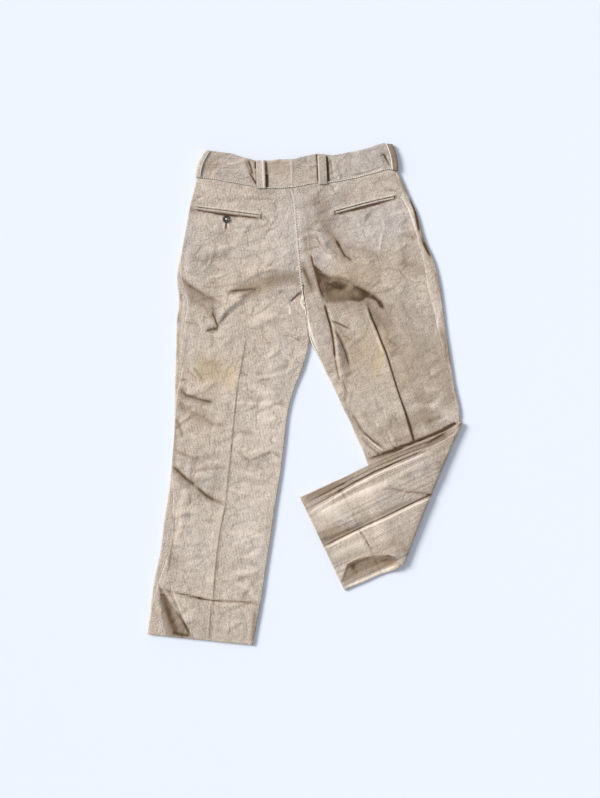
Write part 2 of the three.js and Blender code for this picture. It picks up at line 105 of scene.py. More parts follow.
FLAP_ROWS = np.array([
    [328, -57, 204, -359, -6], [306, -73, 198, -366, -14], [271, -88, 187, -371, -19],
    [225, -107, 170, -377, -21], [178, -129, 153, -383, -23], [130, -152, 136, -391, -25],
    [84, -175, 120, -398, -27], [38, -196, 103, -405, -29], [-8, -217, 86, -413, -31],
], float)
# The middle seam from the waist down: y, x.
MIDDLE = np.array([
    [434, -23], [415, -20.4], [380, -17], [354, -15], [333, -13], [301, -10],
    [276, -8], [249, -6], [222, -2], [167, 6], [113, 13], [60, 22],
], float)
BANDS = {
    "left": {
        "side": -1, "low": (-225, 455), "high": (-204, 513.4), "bulge": -5,
        "low_bow": [(0, 0), (0.19, 0), (0.34, -2.7), (0.55, -5.3), (0.68, -8.4), (0.87, -4.6), (1, 0)],
        "high_bow": [(0, 0), (0.27, -1.3), (0.49, -7.6), (0.57, -10.5), (0.72, -8), (0.87, -2.5), (1, 0)],
    },
    "right": {
        "side": 1, "low": (197, 470), "high": (184, 527), "bulge": 3,
        "low_bow": [(0, 0), (0.1, 5), (0.27, 1), (0.41, -2), (0.56, -3), (0.67, -2.7), (0.78, 1.7), (1, 0)],
        "high_bow": [(0, 0), (0.08, 3.6), (0.26, -2), (0.37, -3.8), (0.55, -5.5), (0.76, 3), (1, 0)],
    },
}
BAND_MIDDLE_LOW, BAND_MIDDLE_HIGH = (-23.0, 434.0), (-26.3, 494.4)
# Edges as laid: the right leg's inner edge and the flap's upper edge.
LEG_EDGE = ((132, -146), (204, -359))
FLAP_EDGE = ((321, -74), (-8, -217))
# These sizes have their own middle: a front loop's corner gives the shift from it.
FRONT_LOOP_CORNER = (-128.0, 440.0)
SHIFT = np.array([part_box("loop_front_left")[0][i] / MM - FRONT_LOOP_CORNER[i] for i in (0, 1)])

# ------------------------------------------------------------- folds and marks
# Each fold: its points on the grid, its height, and how wide it falls off on
# the left and on the right of its run, in mm. Minus is a valley.
FOLDS = [
    # seat, left
    ([(238, 199), (252, 197.5), (266, 198), (277, 198)], -1.4, 4, 6),
    ([(230, 226), (243, 226.5), (256, 225)], -1.0, 4, 4),
    ([(205, 229), (216, 232), (230, 234)], -1.0, 5, 4),
    ([(197, 259), (205, 258), (215, 255.5), (232, 251.5)], -1.4, 5, 4),
    ([(200, 254), (212, 251), (228, 247)], 1.2, 8, 5),
    ([(180, 270), (186, 279), (195, 287), (206, 293), (222, 300)], -1.5, 7, 8),
    ([(186, 262), (194, 274), (205, 283), (222, 291)], 2.8, 12, 7),
    ([(226, 281), (244, 279), (262, 270), (280, 266), (299, 266)], 3.8, 16, 7),
    ([(228, 290), (246, 286), (262, 281), (278, 277), (300, 277)], -1.5, 6, 8),
    ([(240, 296), (250, 292), (258, 288)], -1.0, 3, 4),
    ([(258, 296), (270, 290), (284, 287), (300, 287)], 2.6, 5, 9),
    ([(290, 302), (295, 297), (302, 291)], -1.2, 3, 3),
    # seat, right
    ([(331, 183), (333, 187), (335, 191)], -1.0, 3, 3),
    ([(337, 241), (343, 250), (347, 257), (353, 260)], -1.2, 4, 3),
    ([(332, 234), (338, 246), (344, 256)], 1.8, 4, 7), ([(317, 236), (324, 247), (331, 258)], -0.9, 4, 3),
    ([(322, 240), (328, 250), (335, 258)], 1.6, 6, 5),
    ([(313, 249), (314, 257), (316, 266), (321, 274), (324, 283), (328, 296)], 4.4, 12, 2.5),
    ([(310, 250), (311, 258), (312.5, 267), (316, 275), (319, 284), (323, 297)], -1.3, 2.5, 3),
    ([(322, 292), (338, 291), (356, 292), (376, 297)], -1.5, 8, 9),
    ([(326, 279), (342, 277), (360, 279), (384, 286)], 3.2, 14, 7),
    ([(372, 295), (380, 299), (385, 309)], -1.2, 5, 5), ([(383, 230), (381, 240), (380, 249)], 1.0, 3, 3),
    ([(380, 214), (384, 220), (385, 228)], 0.8, 3, 3),
    ([(337, 218), (352, 215), (368, 211), (384, 207)], 0.9, 7, 7),
    ([(360, 243), (376, 253), (388, 258), (402, 261)], -1.1, 6, 6),
    ([(362, 238), (378, 247), (392, 252)], 1.3, 8, 6), ([(398, 232), (400, 246), (404, 262)], 1.2, 7, 6),
    # left thigh and knee
    ([(206, 301), (212, 310), (217, 320), (219, 326)], 2.2, 7, 3),
    ([(207, 329), (212, 326), (218, 325)], -1.3, 4, 3),
    ([(183, 321), (192, 322), (200, 324)], -1.0, 4, 4),
    ([(219, 319), (226, 309), (236, 301), (248, 293)], 2.8, 9, 4),
    ([(219, 324), (228, 314), (238, 306), (250, 299)], -1.1, 4, 5),
    ([(188, 369), (193, 374), (198, 379)], -1.2, 3, 3),
    ([(194, 367), (199, 373), (204, 380)], -1.3, 3, 3), ([(191, 366), (196, 372), (201, 379)], 1.4, 3, 3),
    ([(176, 379), (181, 378.5), (187, 379)], -1.0, 3, 3),
    ([(177, 385), (184, 391), (191, 395), (205, 398), (216, 399)], -1.4, 4, 5),
    ([(182, 383), (194, 389), (208, 392), (218, 392)], 1.5, 6, 4),
    ([(184, 402), (192, 409), (200, 414), (208, 420), (216, 424)], 2.2, 8, 5),
    ([(177, 401), (186, 409), (195, 415), (206, 421), (218, 424)], -1.2, 3, 4),
    ([(177, 414), (180, 424), (182, 436)], -1.0, 4, 4), ([(172, 450), (185, 453), (199, 457)], 1.8, 8, 5),
    ([(175, 462), (186, 464), (199, 465)], -1.0, 4, 4),
    ([(191, 477), (205, 478.5), (223, 479)], -1.0, 6, 5),
    ([(172, 462), (180, 468), (190, 476), (199, 483)], 2.4, 8, 4),
    ([(174, 466), (182, 475), (191, 483), (200, 489), (218, 500)], -1.4, 3, 5),
    ([(196, 494), (206, 503), (220, 509)], 1.4, 7, 6),
    ([(238, 452), (250, 457), (262, 453), (271, 449), (281, 455)], 2.4, 7, 5),
    ([(239, 456), (250, 462), (258, 463), (268, 459), (280, 461)], -1.1, 4, 5),
    ([(247, 479), (260, 480), (278, 483)], -1.1, 4, 4), ([(246, 474), (262, 474), (280, 478)], 1.3, 5, 4),
    ([(263, 334), (267, 339), (271, 343)], -1.0, 3, 3), ([(268, 333), (272, 338), (275, 343)], 1.1, 3, 3),
    ([(255, 347), (258, 353), (264, 358)], -0.9, 4, 4),
    ([(282, 334), (292, 335), (303, 341)], -1.2, 3, 4), ([(282, 330), (293, 331), (303, 336)], 1.3, 5, 3),
    ([(241, 371), (244, 373), (249, 375)], -1.0, 3, 3),
    ([(244, 381), (258, 383), (271, 389), (280, 397)], 2.8, 8, 5),
    ([(242, 389), (249, 395), (256, 401)], -1.2, 3, 4), ([(278, 369), (284, 376), (289, 379)], 1.2, 4, 4),
    ([(290, 378), (296, 375), (302, 371)], -1.1, 3, 3), ([(286, 372), (292, 369), (299, 364)], 1.4, 5, 4),
    ([(274, 403), (280, 403), (286, 404)], -0.9, 3, 3), ([(267, 410), (272, 413), (278, 418)], 1.3, 5, 4),
    ([(239, 430), (247, 431), (256, 432)], -1.0, 4, 4), ([(252, 500), (262, 506), (268, 514)], 1.2, 7, 6),
    ([(190, 520), (198, 532), (202, 548)], 1.2, 8, 7), ([(244, 536), (252, 548), (262, 556)], 1.0, 7, 7),
    ([(158, 582), (168, 594), (178, 612), (192, 636)], 2.0, 7, 2.5),
    ([(162, 588), (163, 608), (166, 634)], -1.1, 4, 4),
    # right thigh and knee
    ([(329, 303), (332, 315), (334, 323), (337, 340), (339, 355), (341, 370), (343, 381)], 3.6, 9, 3),
    ([(326, 304), (329, 314), (331, 322), (333, 336), (335, 351), (338, 371)], -1.3, 2, 4),
    ([(332, 319), (341, 321), (350, 325)], 1.9, 6, 3),
    ([(334, 325), (342, 339), (347, 353), (350, 370)], -1.1, 5, 4),
    ([(343, 379), (347, 390), (345, 402)], -1.3, 4, 4),
    ([(352, 412), (362, 429), (375, 443)], -1.3, 5, 4), ([(357, 409), (368, 424), (382, 437)], 2.4, 9, 5),
    ([(380, 425), (384, 433), (388, 443)], -1.0, 4, 4),
    ([(385, 335), (393, 342), (400, 346)], -0.9, 5, 5),
    ([(343, 299), (350, 307), (356, 316)], -0.9, 4, 4), ([(404, 330), (412, 342), (416, 356)], 1.2, 8, 7),
    ([(420, 372), (430, 380), (440, 384)], 1.0, 8, 7), ([(398, 300), (410, 308), (424, 312)], 1.3, 9, 7),
    ([(424, 392), (434, 400), (448, 404)], 1.4, 7, 5), ([(422, 428), (434, 424), (450, 420)], 1.5, 6, 5),
]
# The legs' pressed creases.
PRESSED = [
    ([(246, 338), (242, 360), (240, 371), (237, 385), (235, 405), (232, 430), (229, 460), (226, 490),
      (225, 502), (221, 530), (217, 560), (214, 590), (210, 642)], 0.9, 2.6, 7),
    ([(366, 298), (370, 314), (375, 326), (380, 340), (385, 352), (390, 368), (395, 385), (400, 400),
      (405, 413), (414, 441)], 1.8, 2.6, 8),
]
# Fine lines of painted shade where the cloth is creased hard: points, width in mm, how dark.
# In all marks, 1 is the darkest painted shade and minus is painted highlight, paler than the cloth.
LINES = [
    ([(243, 198.6), (252, 197.6), (266, 198), (276, 198)], 2.4, 0.34),
    ([(231, 226), (243, 226.8), (256, 225.5)], 1.8, 0.22),
    ([(206, 229.5), (216, 232), (230, 234)], 1.8, 0.24),
    ([(197, 260), (205, 259), (215, 256.5), (232, 252)], 2.0, 0.38),
    ([(181, 275), (187, 283), (197, 289), (207, 295.5), (220, 301)], 2.4, 0.14),
    ([(226, 291), (240, 289), (254, 287.5)], 2.4, 0.2), ([(238, 297), (248, 293), (257, 288)], 2.2, 0.22),
    ([(290, 301), (296, 296), (302.6, 290.6)], 1.5, 0.75),
    ([(290.5, 303), (289.5, 308), (290.5, 314)], 1.2, -0.3),
    ([(331, 183), (333, 187), (335, 191)], 1.6, 0.42),
    ([(336, 238), (341, 247), (345, 254), (353, 260.4)], 3.0, 0.5),
    ([(315, 234), (321, 242), (328, 253)], 1.8, 0.4), ([(318, 232), (324, 240), (331, 251)], 1.6, -0.25),
    ([(324, 238), (330, 246), (335, 253)], 6.0, 0.22),
    ([(311, 252), (312, 259), (313.6, 265), (317, 275), (319.6, 286), (323.4, 296)], 1.6, 0.95),
    ([(313.6, 264), (317, 267.6), (323, 271)], 2.6, 0.5),
    ([(290.6, 300.4), (296, 295), (300, 291)], 1.8, 0.9),
    ([(303.6, 283), (303.2, 287), (301.4, 292)], 2.0, 1.1),
    ([(305, 289), (302.2, 296), (301.4, 302), (305.6, 309), (307.6, 318), (311, 330), (315.6, 345),
      (320, 354)], 1.7, -1.0), ([(304.6, 214), (306.6, 228), (308.4, 242), (309.6, 254)], 1.3, -0.35),
    ([(301.6, 214), (303.4, 230), (305, 248), (306.6, 262)], 4.0, 0.16),
    ([(288, 303), (290, 308), (290, 314)], 1.4, -0.5), ([(371, 294), (379, 300), (384, 310)], 4.6, 0.26),
    ([(383, 231), (381, 240), (379.6, 249)], 1.4, -0.42),
    ([(374, 213), (380, 216), (384.6, 224), (383, 231)], 1.0, -0.22),
    ([(212, 311), (215, 318), (218.4, 327)], 1.8, 0.55),
    ([(206, 329.6), (212, 328), (218, 327)], 3.2, 0.6),
    ([(206, 331.5), (212, 333), (218, 331)], 1.2, -0.25),
    ([(183, 321), (192, 322.4), (200, 324)], 1.7, 0.5), ([(219, 323), (224, 317), (229, 312)], 1.6, 0.4),
    ([(188, 369), (193, 374), (198, 379)], 1.7, 0.42), ([(194, 367), (199, 373), (204, 380)], 1.7, 0.5),
    ([(175.5, 379), (181, 378.5), (187, 379)], 1.7, 0.6),
    ([(178, 384), (186, 394), (200, 398), (215, 402.5)], 3.6, 0.4),
    ([(184, 402), (192, 411), (203, 416), (213, 423.4), (226, 424)], 3.4, 0.42),
    ([(175.6, 417), (181, 430), (183, 437)], 4.0, 0.5), ([(177, 398), (182, 403), (186, 406)], 3.0, 0.3),
    ([(175, 449), (187, 455), (199, 459)], 4.0, 0.46),
    ([(191, 471), (203, 468.6), (214, 467), (228, 466)], 4.0, 0.42),
    ([(234, 431), (246, 432), (256, 433)], 2.6, 0.3), ([(238, 450), (246, 458), (251, 460.4)], 3.2, 0.46),
    ([(251, 460.4), (261, 455.6), (272, 450.4), (281, 457)], 3.0, 0.42),
    ([(230, 461), (236, 463), (242, 465)], 3.0, 0.26), ([(250, 483), (261, 479), (270, 482)], 2.6, 0.22),
    ([(273, 411), (276, 415), (277, 418)], 2.0, 0.34),
    ([(275, 404), (280, 403.6), (286, 405)], 2.2, 0.34),
    ([(236, 450), (240, 447), (248, 449)], 2.4, -0.25), ([(247, 453), (256, 450), (264, 447)], 3.0, -0.2),
    ([(200, 459), (210, 461), (222, 461)], 3.0, -0.2), ([(196, 404), (206, 407), (216, 410)], 3.4, -0.16),
    ([(190, 484), (200, 495), (210, 503)], 3.0, -0.2),
    ([(172.6, 465), (180, 471), (186, 477), (196, 484)], 4.4, 0.7),
    ([(196, 484), (206, 495), (215, 500), (226, 503)], 3.6, 0.42),
    ([(204, 486), (216, 488), (226, 487)], 4.0, 0.2), ([(263, 334), (267, 339), (271, 343)], 1.5, 0.34),
    ([(255, 347), (258, 353), (264, 358)], 1.6, 0.24),
    ([(282, 334), (290, 334.6), (296, 337), (303, 341)], 1.7, 0.46),
    ([(241, 371), (244, 373), (249, 375)], 1.8, 0.48), ([(242, 389), (249, 395), (256, 401)], 1.8, 0.36),
    ([(290, 378), (296, 375), (302, 371)], 1.8, 0.34), ([(274, 403), (280, 403), (286, 404)], 1.6, 0.26),
    ([(239, 430), (247, 431), (256, 432)], 1.8, 0.24),
    ([(246, 338), (243.4, 355), (241, 369), (238.4, 379)], 1.3, 0.66),
    ([(238.4, 379), (236, 400), (233.4, 430), (230.6, 460), (227.6, 490), (226.4, 502)], 1.5, 0.52),
    ([(236.4, 388), (234.6, 400), (232, 430)], 1.4, -0.16),
    ([(226.4, 500), (224, 512), (221, 526), (217.6, 550), (215.4, 570), (214, 588),
      (213, 600)], 1.5, 0.8), ([(211.4, 601), (210.4, 620), (209.4, 641)], 1.6, 0.6),
    ([(214, 516), (212, 540), (210, 566)], 1.4, -0.14),
    ([(173.6, 591.4), (185, 594), (197, 597), (206, 599)], 1.7, 0.5),
    ([(196, 597), (206, 599), (214, 600), (224, 600)], 2.2, 0.6),
    ([(222, 600), (238, 601), (257, 602)], 1.5, 0.45),
    ([(255, 610), (253.6, 626), (252.6, 642)], 4.5, 0.42), ([(176, 512), (175.6, 530)], 1.3, -0.5),
    ([(173, 537), (170.6, 556), (168, 572)], 2.0, 0.45),
    ([(205, 604), (204, 622), (203, 638)], 5.0, 0.14), ([(176, 610), (184, 622), (189, 633)], 4.0, 0.3),
    ([(172, 588), (179, 606), (192, 634)], 2.2, -0.3), ([(172, 632), (181, 634), (190, 635)], 4.0, 0.35),
    ([(244, 300), (246, 318), (246.4, 338)], 1.4, 0.16),
    ([(160, 582), (169, 591), (178, 609), (191, 635)], 1.8, 0.34),
    ([(324.4, 302), (327.6, 314), (330.6, 324), (333, 336), (334.4, 348), (335.4, 358)], 2.3, 1.4),
    ([(335.4, 358), (337, 368), (339.6, 380)], 1.8, 0.75),
    ([(331.6, 320), (340, 323), (348.6, 327.4)], 1.7, 1.0),
    ([(333.4, 328), (341, 340), (346, 352), (350, 366)], 2.2, 0.3),
    ([(335.6, 326), (344, 338), (349, 350), (353, 364)], 1.4, -0.35),
    ([(343, 379), (347, 390), (345, 402)], 2.0, 0.62),
    ([(352, 412), (362, 429), (372, 439), (384, 447)], 2.6, 0.55),
    ([(364, 434), (374, 443), (384, 450.4)], 1.5, -0.8), ([(361, 436), (370, 446), (380, 454)], 2.6, 0.5),
    ([(394, 440), (406, 436), (420, 434)], 5.0, 0.3),
    ([(404, 406), (408, 420), (411, 430), (414.6, 442)], 1.9, 0.9),
    ([(388, 436), (392, 444), (398, 449)], 2.6, 0.3), ([(376, 420), (383, 432), (388, 440)], 2.4, -0.3),
    ([(380, 425), (384, 433), (388, 443)], 1.8, 0.3), ([(385, 335), (393, 342), (400, 346)], 1.7, 0.24),
    ([(367.6, 304), (371.6, 316), (376.6, 327), (381.6, 340), (386.6, 352), (391.6, 368),
      (396.6, 385), (401.6, 400), (406.6, 413), (415.6, 441)], 1.9, 1.1),
    ([(364.4, 303), (369, 317), (375, 331), (383, 352)], 1.8, -0.35),
    # The flap's painted shadow on the leg along its upper edge.
    ([(346, 469), (367, 460.6), (390, 450.8), (414.5, 441.4), (430, 435.8), (445, 428.8),
      (456.4, 422)], 3.2, 1.7), ([(444, 428.6), (456.6, 421.8)], 3.0, 1.4),
    # pocket mouths, buttonhole and the right hip's bar tack: painted shadow in the mouths, slits and under
    # the lower welts, painted highlight beside them
    ([(194, 205.6), (210, 207.6), (240, 211.2), (262, 214)], 1.6, 1.2),
    ([(193.5, 208), (204, 210), (226, 213.2), (246, 215.4), (261, 217)], 2.2, 1.25),
    ([(214, 212.4), (226, 214), (238, 215.2)], 2.6, 0.9), ([(261, 213), (261.4, 218)], 1.6, 1.0),
    ([(334, 210.6), (350, 205.4), (365, 202), (380, 198.6), (399, 194)], 1.6, 1.2),
    ([(336, 213.6), (350, 208.8), (366, 205), (382, 201), (399, 195.4)], 3.0, 1.25),
    ([(350, 209), (366, 205.2), (382, 201.2)], 3.4, 0.9), ([(335, 209), (335.6, 214)], 1.6, 0.9),
    ([(226.2, 221), (226, 225), (225.6, 228)], 1.7, 1.6), ([(224, 221), (223.8, 227)], 1.1, -0.6),
    ([(228.4, 221), (228, 227)], 1.1, -0.6), ([(404, 197), (407, 201), (409, 206)], 1.6, 0.7),
    ([(404, 188.6), (408, 190), (411, 192.4)], 1.5, 0.7),
    ([(400, 189.4), (403, 189.6), (406.4, 191.4)], 2.2, -1.0),
    ([(401, 193.4), (405, 199), (409, 207), (413, 218), (416.4, 229), (420, 240), (424, 256)], 1.7, -1.1),
    ([(412.4, 199), (414.6, 207), (416.6, 216), (419, 230)], 2.0, 1.3),
    ([(410, 196), (413.6, 201)], 2.6, 1.2),
    ([(394.6, 169), (398.4, 175), (402.6, 183), (407, 191)], 3.4, 0.55),
    ([(398, 190), (392, 189), (384, 189.6)], 1.6, 0.4),
]
# Broad painted shade over folds and hollows, or painted highlight below zero: points, width left and right,
# how dark.
SHADES = [
    ([(226, 291), (240, 289), (254, 287.5), (262, 284)], 4, 5, 0.34),
    ([(240, 297), (252, 293), (264, 289)], 4, 4, 0.16),
    ([(262, 283), (274, 280), (286, 277.5), (301, 277)], 11, 8, 0.26),
    ([(181, 275), (187, 283), (197, 289), (207, 296), (220, 301)], 5, 8, 0.24),
    ([(188, 291), (199, 299), (207, 308), (212, 320)], 12, 12, 0.16),
    ([(212, 303), (216, 316), (218, 327)], 3, 9, 0.26),
    ([(219, 323), (228, 312.5), (238, 305), (248, 299)], 5, 5, 0.34),
    ([(197, 260), (215, 257), (232, 252)], 3, 6, 0.2),
    ([(312, 254), (314, 262), (317, 272), (321, 284)], 7, 2, 0.3),
    ([(303, 258), (306, 276), (308, 296)], 7, 5, 0.2),
    ([(306, 270), (312, 284), (318, 298)], 3, 3, -0.06),
    ([(318, 214), (328, 234), (338, 250), (348, 264)], 10, 10, 0.22),
    ([(303, 232), (309, 248), (314, 262)], 9, 8, 0.22),
    ([(301, 264), (308, 278), (314, 292)], 7, 6, 0.42),
    ([(318, 272), (330, 276), (344, 278)], 5, 8, 0.22),
    ([(352, 284), (366, 292), (378, 302)], 8, 8, 0.14),
    ([(346, 270), (358, 284), (372, 296)], 9, 9, 0.24),
    ([(360, 290), (372, 308), (384, 326)], 9, 9, 0.16), ([(384, 322), (390, 340), (394, 358)], 6, 6, 0.2),
    ([(396, 250), (414, 262), (430, 274)], 10, 10, 0.16),
    ([(444, 326), (449, 346), (452, 366)], 7, 7, 0.26),
    ([(176, 404), (174, 440), (171, 470), (166, 510), (159, 560), (153, 596), (149, 634)], 4, 5, 0.22),
    ([(258, 596), (256, 616), (252, 640)], 7, 6, 0.22), ([(326, 158), (327, 174)], 3, 3, 0.2),
    ([(318, 200), (330, 224), (344, 246), (358, 262)], 22, 16, 0.13),
    ([(322, 252), (328, 256), (336, 261)], 5, 5, -0.16),
    ([(430, 296), (438, 340), (445, 380), (449, 416)], 16, 14, 0.15),
    ([(404, 310), (412, 340), (420, 380), (424, 410)], 20, 20, 0.1),
    ([(374, 438), (400, 428), (424, 414), (450, 402)], 20, 14, 0.18),
    ([(408, 430), (428, 421), (446, 413)], 10, 7, 0.34),
    ([(430, 408), (438, 400), (446, 388)], 7, 7, -0.2),
    ([(175, 412), (175, 440), (174, 470)], 5, 5, 0.18),
    ([(388, 318), (394, 336), (398, 356)], 10, 10, 0.12),
    ([(184, 300), (184, 320), (186, 340)], 7, 7, 0.1),
    ([(320, 281), (330, 286), (342, 290), (356, 291)], 9, 14, 0.16),
    ([(336, 262), (350, 268), (366, 276), (380, 284)], 20, 20, 0.14),
    ([(300, 290), (308, 300), (312, 312)], 6, 4, 0.24),
    ([(303, 200), (307, 222), (309, 246)], 10, 6, 0.24),
    ([(312, 192), (322, 210), (334, 228)], 18, 18, 0.22),
    ([(326, 226), (334, 236), (342, 248)], 8, 9, 0.24),
    ([(345, 243), (360, 248), (376, 254), (392, 260)], 9, 8, 0.24),
    ([(300, 262), (308, 276), (314, 290)], 8, 5, 0.22),
    ([(345, 292), (362, 300), (376, 314), (386, 330)], 12, 12, 0.18),
    ([(368, 436), (390, 424), (430, 414)], 8, 16, 0.14),
    ([(362, 430), (370, 440), (378, 449)], 7, 7, 0.28),
    ([(424, 424), (434, 420), (444, 414)], 7, 7, 0.22),
    ([(396, 256), (414, 266), (432, 276)], 12, 12, 0.14),
    ([(306, 196), (330, 196), (360, 195)], 8, 7, 0.15),
    ([(206, 197), (226, 198), (246, 200)], 5, 5, 0.13),
    ([(306, 226), (309, 240), (312, 252)], 7, 7, 0.14),
    ([(322, 312), (326, 326), (330, 340)], 6, 3, 0.14),
    ([(340, 246), (352, 262), (360, 270)], 14, 12, 0.1),
    ([(334, 325), (341, 338), (346, 352), (350, 368)], 12, 4, 0.26),
    ([(352, 330), (358, 348), (362, 366), (366, 384)], 8, 14, 0.08),
    ([(392, 360), (398, 380), (404, 398)], 10, 2, 0.16),
    ([(368, 306), (380, 336), (396, 382), (414, 438)], 7, 1, 0.22),
    ([(344, 402), (350, 416), (362, 434)], 8, 6, 0.2),
    # Painted shadow of the flap on the leg above its upper edge.
    ([(360, 464), (390, 451.6), (414.5, 441.6), (430, 435.6), (445, 428.4), (460, 420)], 12, 3, 0.44),
    ([(426, 408), (430, 420), (434, 432)], 8, 8, 0.16),
    ([(184, 333), (185, 345), (184, 355), (181, 370)], 4, 3, 0.46),
    ([(177, 386), (186, 394), (202, 399), (216, 400)], 3, 9, 0.28),
    ([(177, 402), (195, 416), (216, 426)], 3, 8, 0.26),
    ([(173, 466), (186, 479), (202, 491), (220, 502)], 3, 10, 0.26),
    ([(190, 478), (223, 480)], 3, 7, 0.16), ([(239, 457), (254, 464), (280, 462)], 3, 8, 0.2),
    ([(247, 480), (278, 484)], 2, 6, 0.16), ([(241, 373), (250, 378), (262, 382)], 4, 4, 0.1),
    ([(170, 510), (174, 518), (174, 530), (170, 540), (168, 570)], 4, 4, 0.34),
    ([(163, 590), (166, 606), (172, 622), (178, 635)], 9, 9, 0.34),
    ([(156, 587), (172, 591), (190, 595), (212, 600)], 2, 4, 0.46),
    ([(212, 600), (236, 601), (257, 602)], 2, 3, 0.3), ([(210, 604), (210, 640)], 5, 5, 0.12),
    ([(414, 206), (418, 222), (419.5, 232)], 2.4, 2.4, 0.8),
    ([(246, 186), (270, 190), (300, 188), (330, 186)], 4, 7, 0.12),
    ([(202, 180), (230, 184), (256, 190)], 2, 4, 0.1), ([(390, 171), (404, 188)], 8, 5, 0.18),
    ([(190, 276), (191, 300), (192, 328)], 7, 6, 0.15), ([(368, 432), (378, 443), (389, 456)], 7, 7, 0.2),
    ([(312, 262), (322, 300), (332, 330)], 12, 14, 0.14),
    ([(306, 196), (326, 204), (356, 200)], 7, 7, 0.14),
    ([(394, 252), (404, 280), (408, 300)], 12, 12, 0.12),
    ([(436, 290), (446, 340), (452, 400)], 12, 8, 0.14),
]
# Shaded areas by their outlines, how soft their edges are in mm, how dark.
AREAS = [
    ([(312, 256), (314, 265), (320, 270), (324, 272), (331, 275), (338, 274), (347, 277), (354, 283),
      (365, 288), (376, 293), (383, 299), (385, 307), (380, 306), (375, 299), (367, 297), (360, 301),
      (349, 300), (338, 302), (327, 302), (322, 298), (317, 280), (312, 264)], 4, 0.46),
    ([(328, 283), (336, 280.6), (344, 281), (350, 285), (344, 288), (336, 287.6)], 2.4, 0.18),
    ([(306, 300), (380, 296), (446, 290), (458, 408), (372, 440), (340, 400)], 20, 0.07),
    ([(298, 194), (356, 192), (424, 250), (440, 300), (310, 300)], 20, 0.07),
    ([(324, 290), (345, 296), (370, 298), (392, 302), (394, 322), (378, 330), (360, 316), (336, 310),
      (327, 302)], 9, 0.2),
    ([(378, 306), (400, 300), (436, 312), (450, 380), (454, 404), (420, 402), (404, 380),
      (390, 345)], 16, 0.17),
    ([(314, 262), (319, 269), (326, 274), (336, 281), (346, 284), (344, 288), (332, 290), (323, 292),
      (318, 281)], 4, 0.1),
    ([(231, 289), (244, 284), (256, 279), (266, 275), (276, 271), (288, 269), (298, 270), (303, 276),
      (303, 285), (293, 284), (282, 285.5), (272, 290), (260, 294.5), (248, 297), (239, 297),
      (246, 292), (236, 292), (226, 292)], 4, 0.36),
    ([(180, 273), (187, 281), (197, 287), (207, 293), (222, 300), (221, 303), (214, 304), (215, 312),
      (219, 326), (214, 323), (209, 314), (203, 307), (192, 303), (186, 294), (182, 284)], 4, 0.3),
    ([(205, 330), (211, 326.6), (218.6, 325), (218, 331), (212, 333)], 1.6, 0.45),
    ([(158, 582), (164, 592), (171, 602), (179, 613), (187, 625), (193, 637), (178, 637), (166, 635),
      (163, 620), (160, 600)], 3, 0.54),
    ([(335, 327), (342, 338), (348, 352), (353, 374), (346, 376), (340, 356)], 4, 0.26),
    ([(173, 466), (180, 472), (190, 481), (199, 487), (215, 496), (222, 502), (206, 500), (190, 492),
      (178, 482)], 4, 0.24),
    ([(176, 386), (186, 393), (202, 398), (218, 399), (208, 404), (190, 402), (179, 396)], 4, 0.22),
]
# Marks of painted shade, or painted highlight below zero, on the strip of the front panels that shows
# beside the side seams.
EDGE_LINES = [
    ([(411, 196), (412, 199), (411.6, 202)], 3.0, 1.0),
    ([(412.6, 200), (414.6, 207), (416.6, 215), (418.4, 224), (419, 230)], 2.6, 1.5),
    ([(422, 237), (426, 246), (430, 254)], 3.2, 1.0), ([(434, 268), (438, 280), (440, 292)], 3.0, 0.4),
    ([(178, 330), (178, 345), (177, 360)], 3.0, 0.35), ([(186, 330), (186, 345), (184, 362)], 2.4, 0.45),
    ([(181, 290), (181, 300)], 3.0, 0.5), ([(177, 312), (178, 320)], 3.4, 0.7),
]
EDGE_SHADES = [
    ([(398, 174), (404, 186), (410, 196)], 9, 6, 0.45),
    ([(416, 212), (421, 232), (430, 256), (438, 286)], 7, 5, 0.3),
    ([(440, 300), (445, 340), (449, 390)], 5, 5, 0.22), ([(440, 326), (446, 346), (450, 366)], 7, 7, 0.4),
    ([(184, 290), (184, 320), (180, 360)], 5, 5, -0.1),
]
FLAP_FOLDS = [
    ([(434, 493), (414, 502), (390, 514), (360, 528), (340, 538), (322, 547)], -2.6, 2.6, 13),
    ([(384, 489), (394, 487.5), (404, 491)], -1.2, 4, 5),
    ([(404, 491), (418, 491.5), (432, 494)], -1.5, 3, 6),
    ([(384, 484), (402, 482), (424, 485)], 1.4, 5, 5),
    ([(359, 529), (364, 536), (368, 543), (373, 549)], -0.8, 1.6, 1.6),
    ([(340, 582), (347, 566), (360, 559), (382, 555.5), (401, 554)], 2.4, 7, 3),
    ([(346, 580), (360, 571), (380, 564), (400, 558)], -1.4, 5, 5),
    ([(304, 511), (330, 496), (352, 483), (374, 471), (400, 460), (430, 447)], -1.3, 2, 7),
    ([(318, 514), (340, 503), (370, 489), (400, 474), (430, 459)], 1.2, 8, 9),
    ([(340, 512), (352, 522), (362, 528)], 0.8, 6, 6), ([(404, 520), (396, 534), (384, 545)], 0.9, 8, 8),
    ([(430, 452), (436, 466), (437, 480)], 1.0, 7, 7), ([(356, 508), (376, 498), (392, 494)], 0.9, 4, 5),
    ([(396, 478), (410, 470), (428, 466)], 0.9, 4, 5),
]
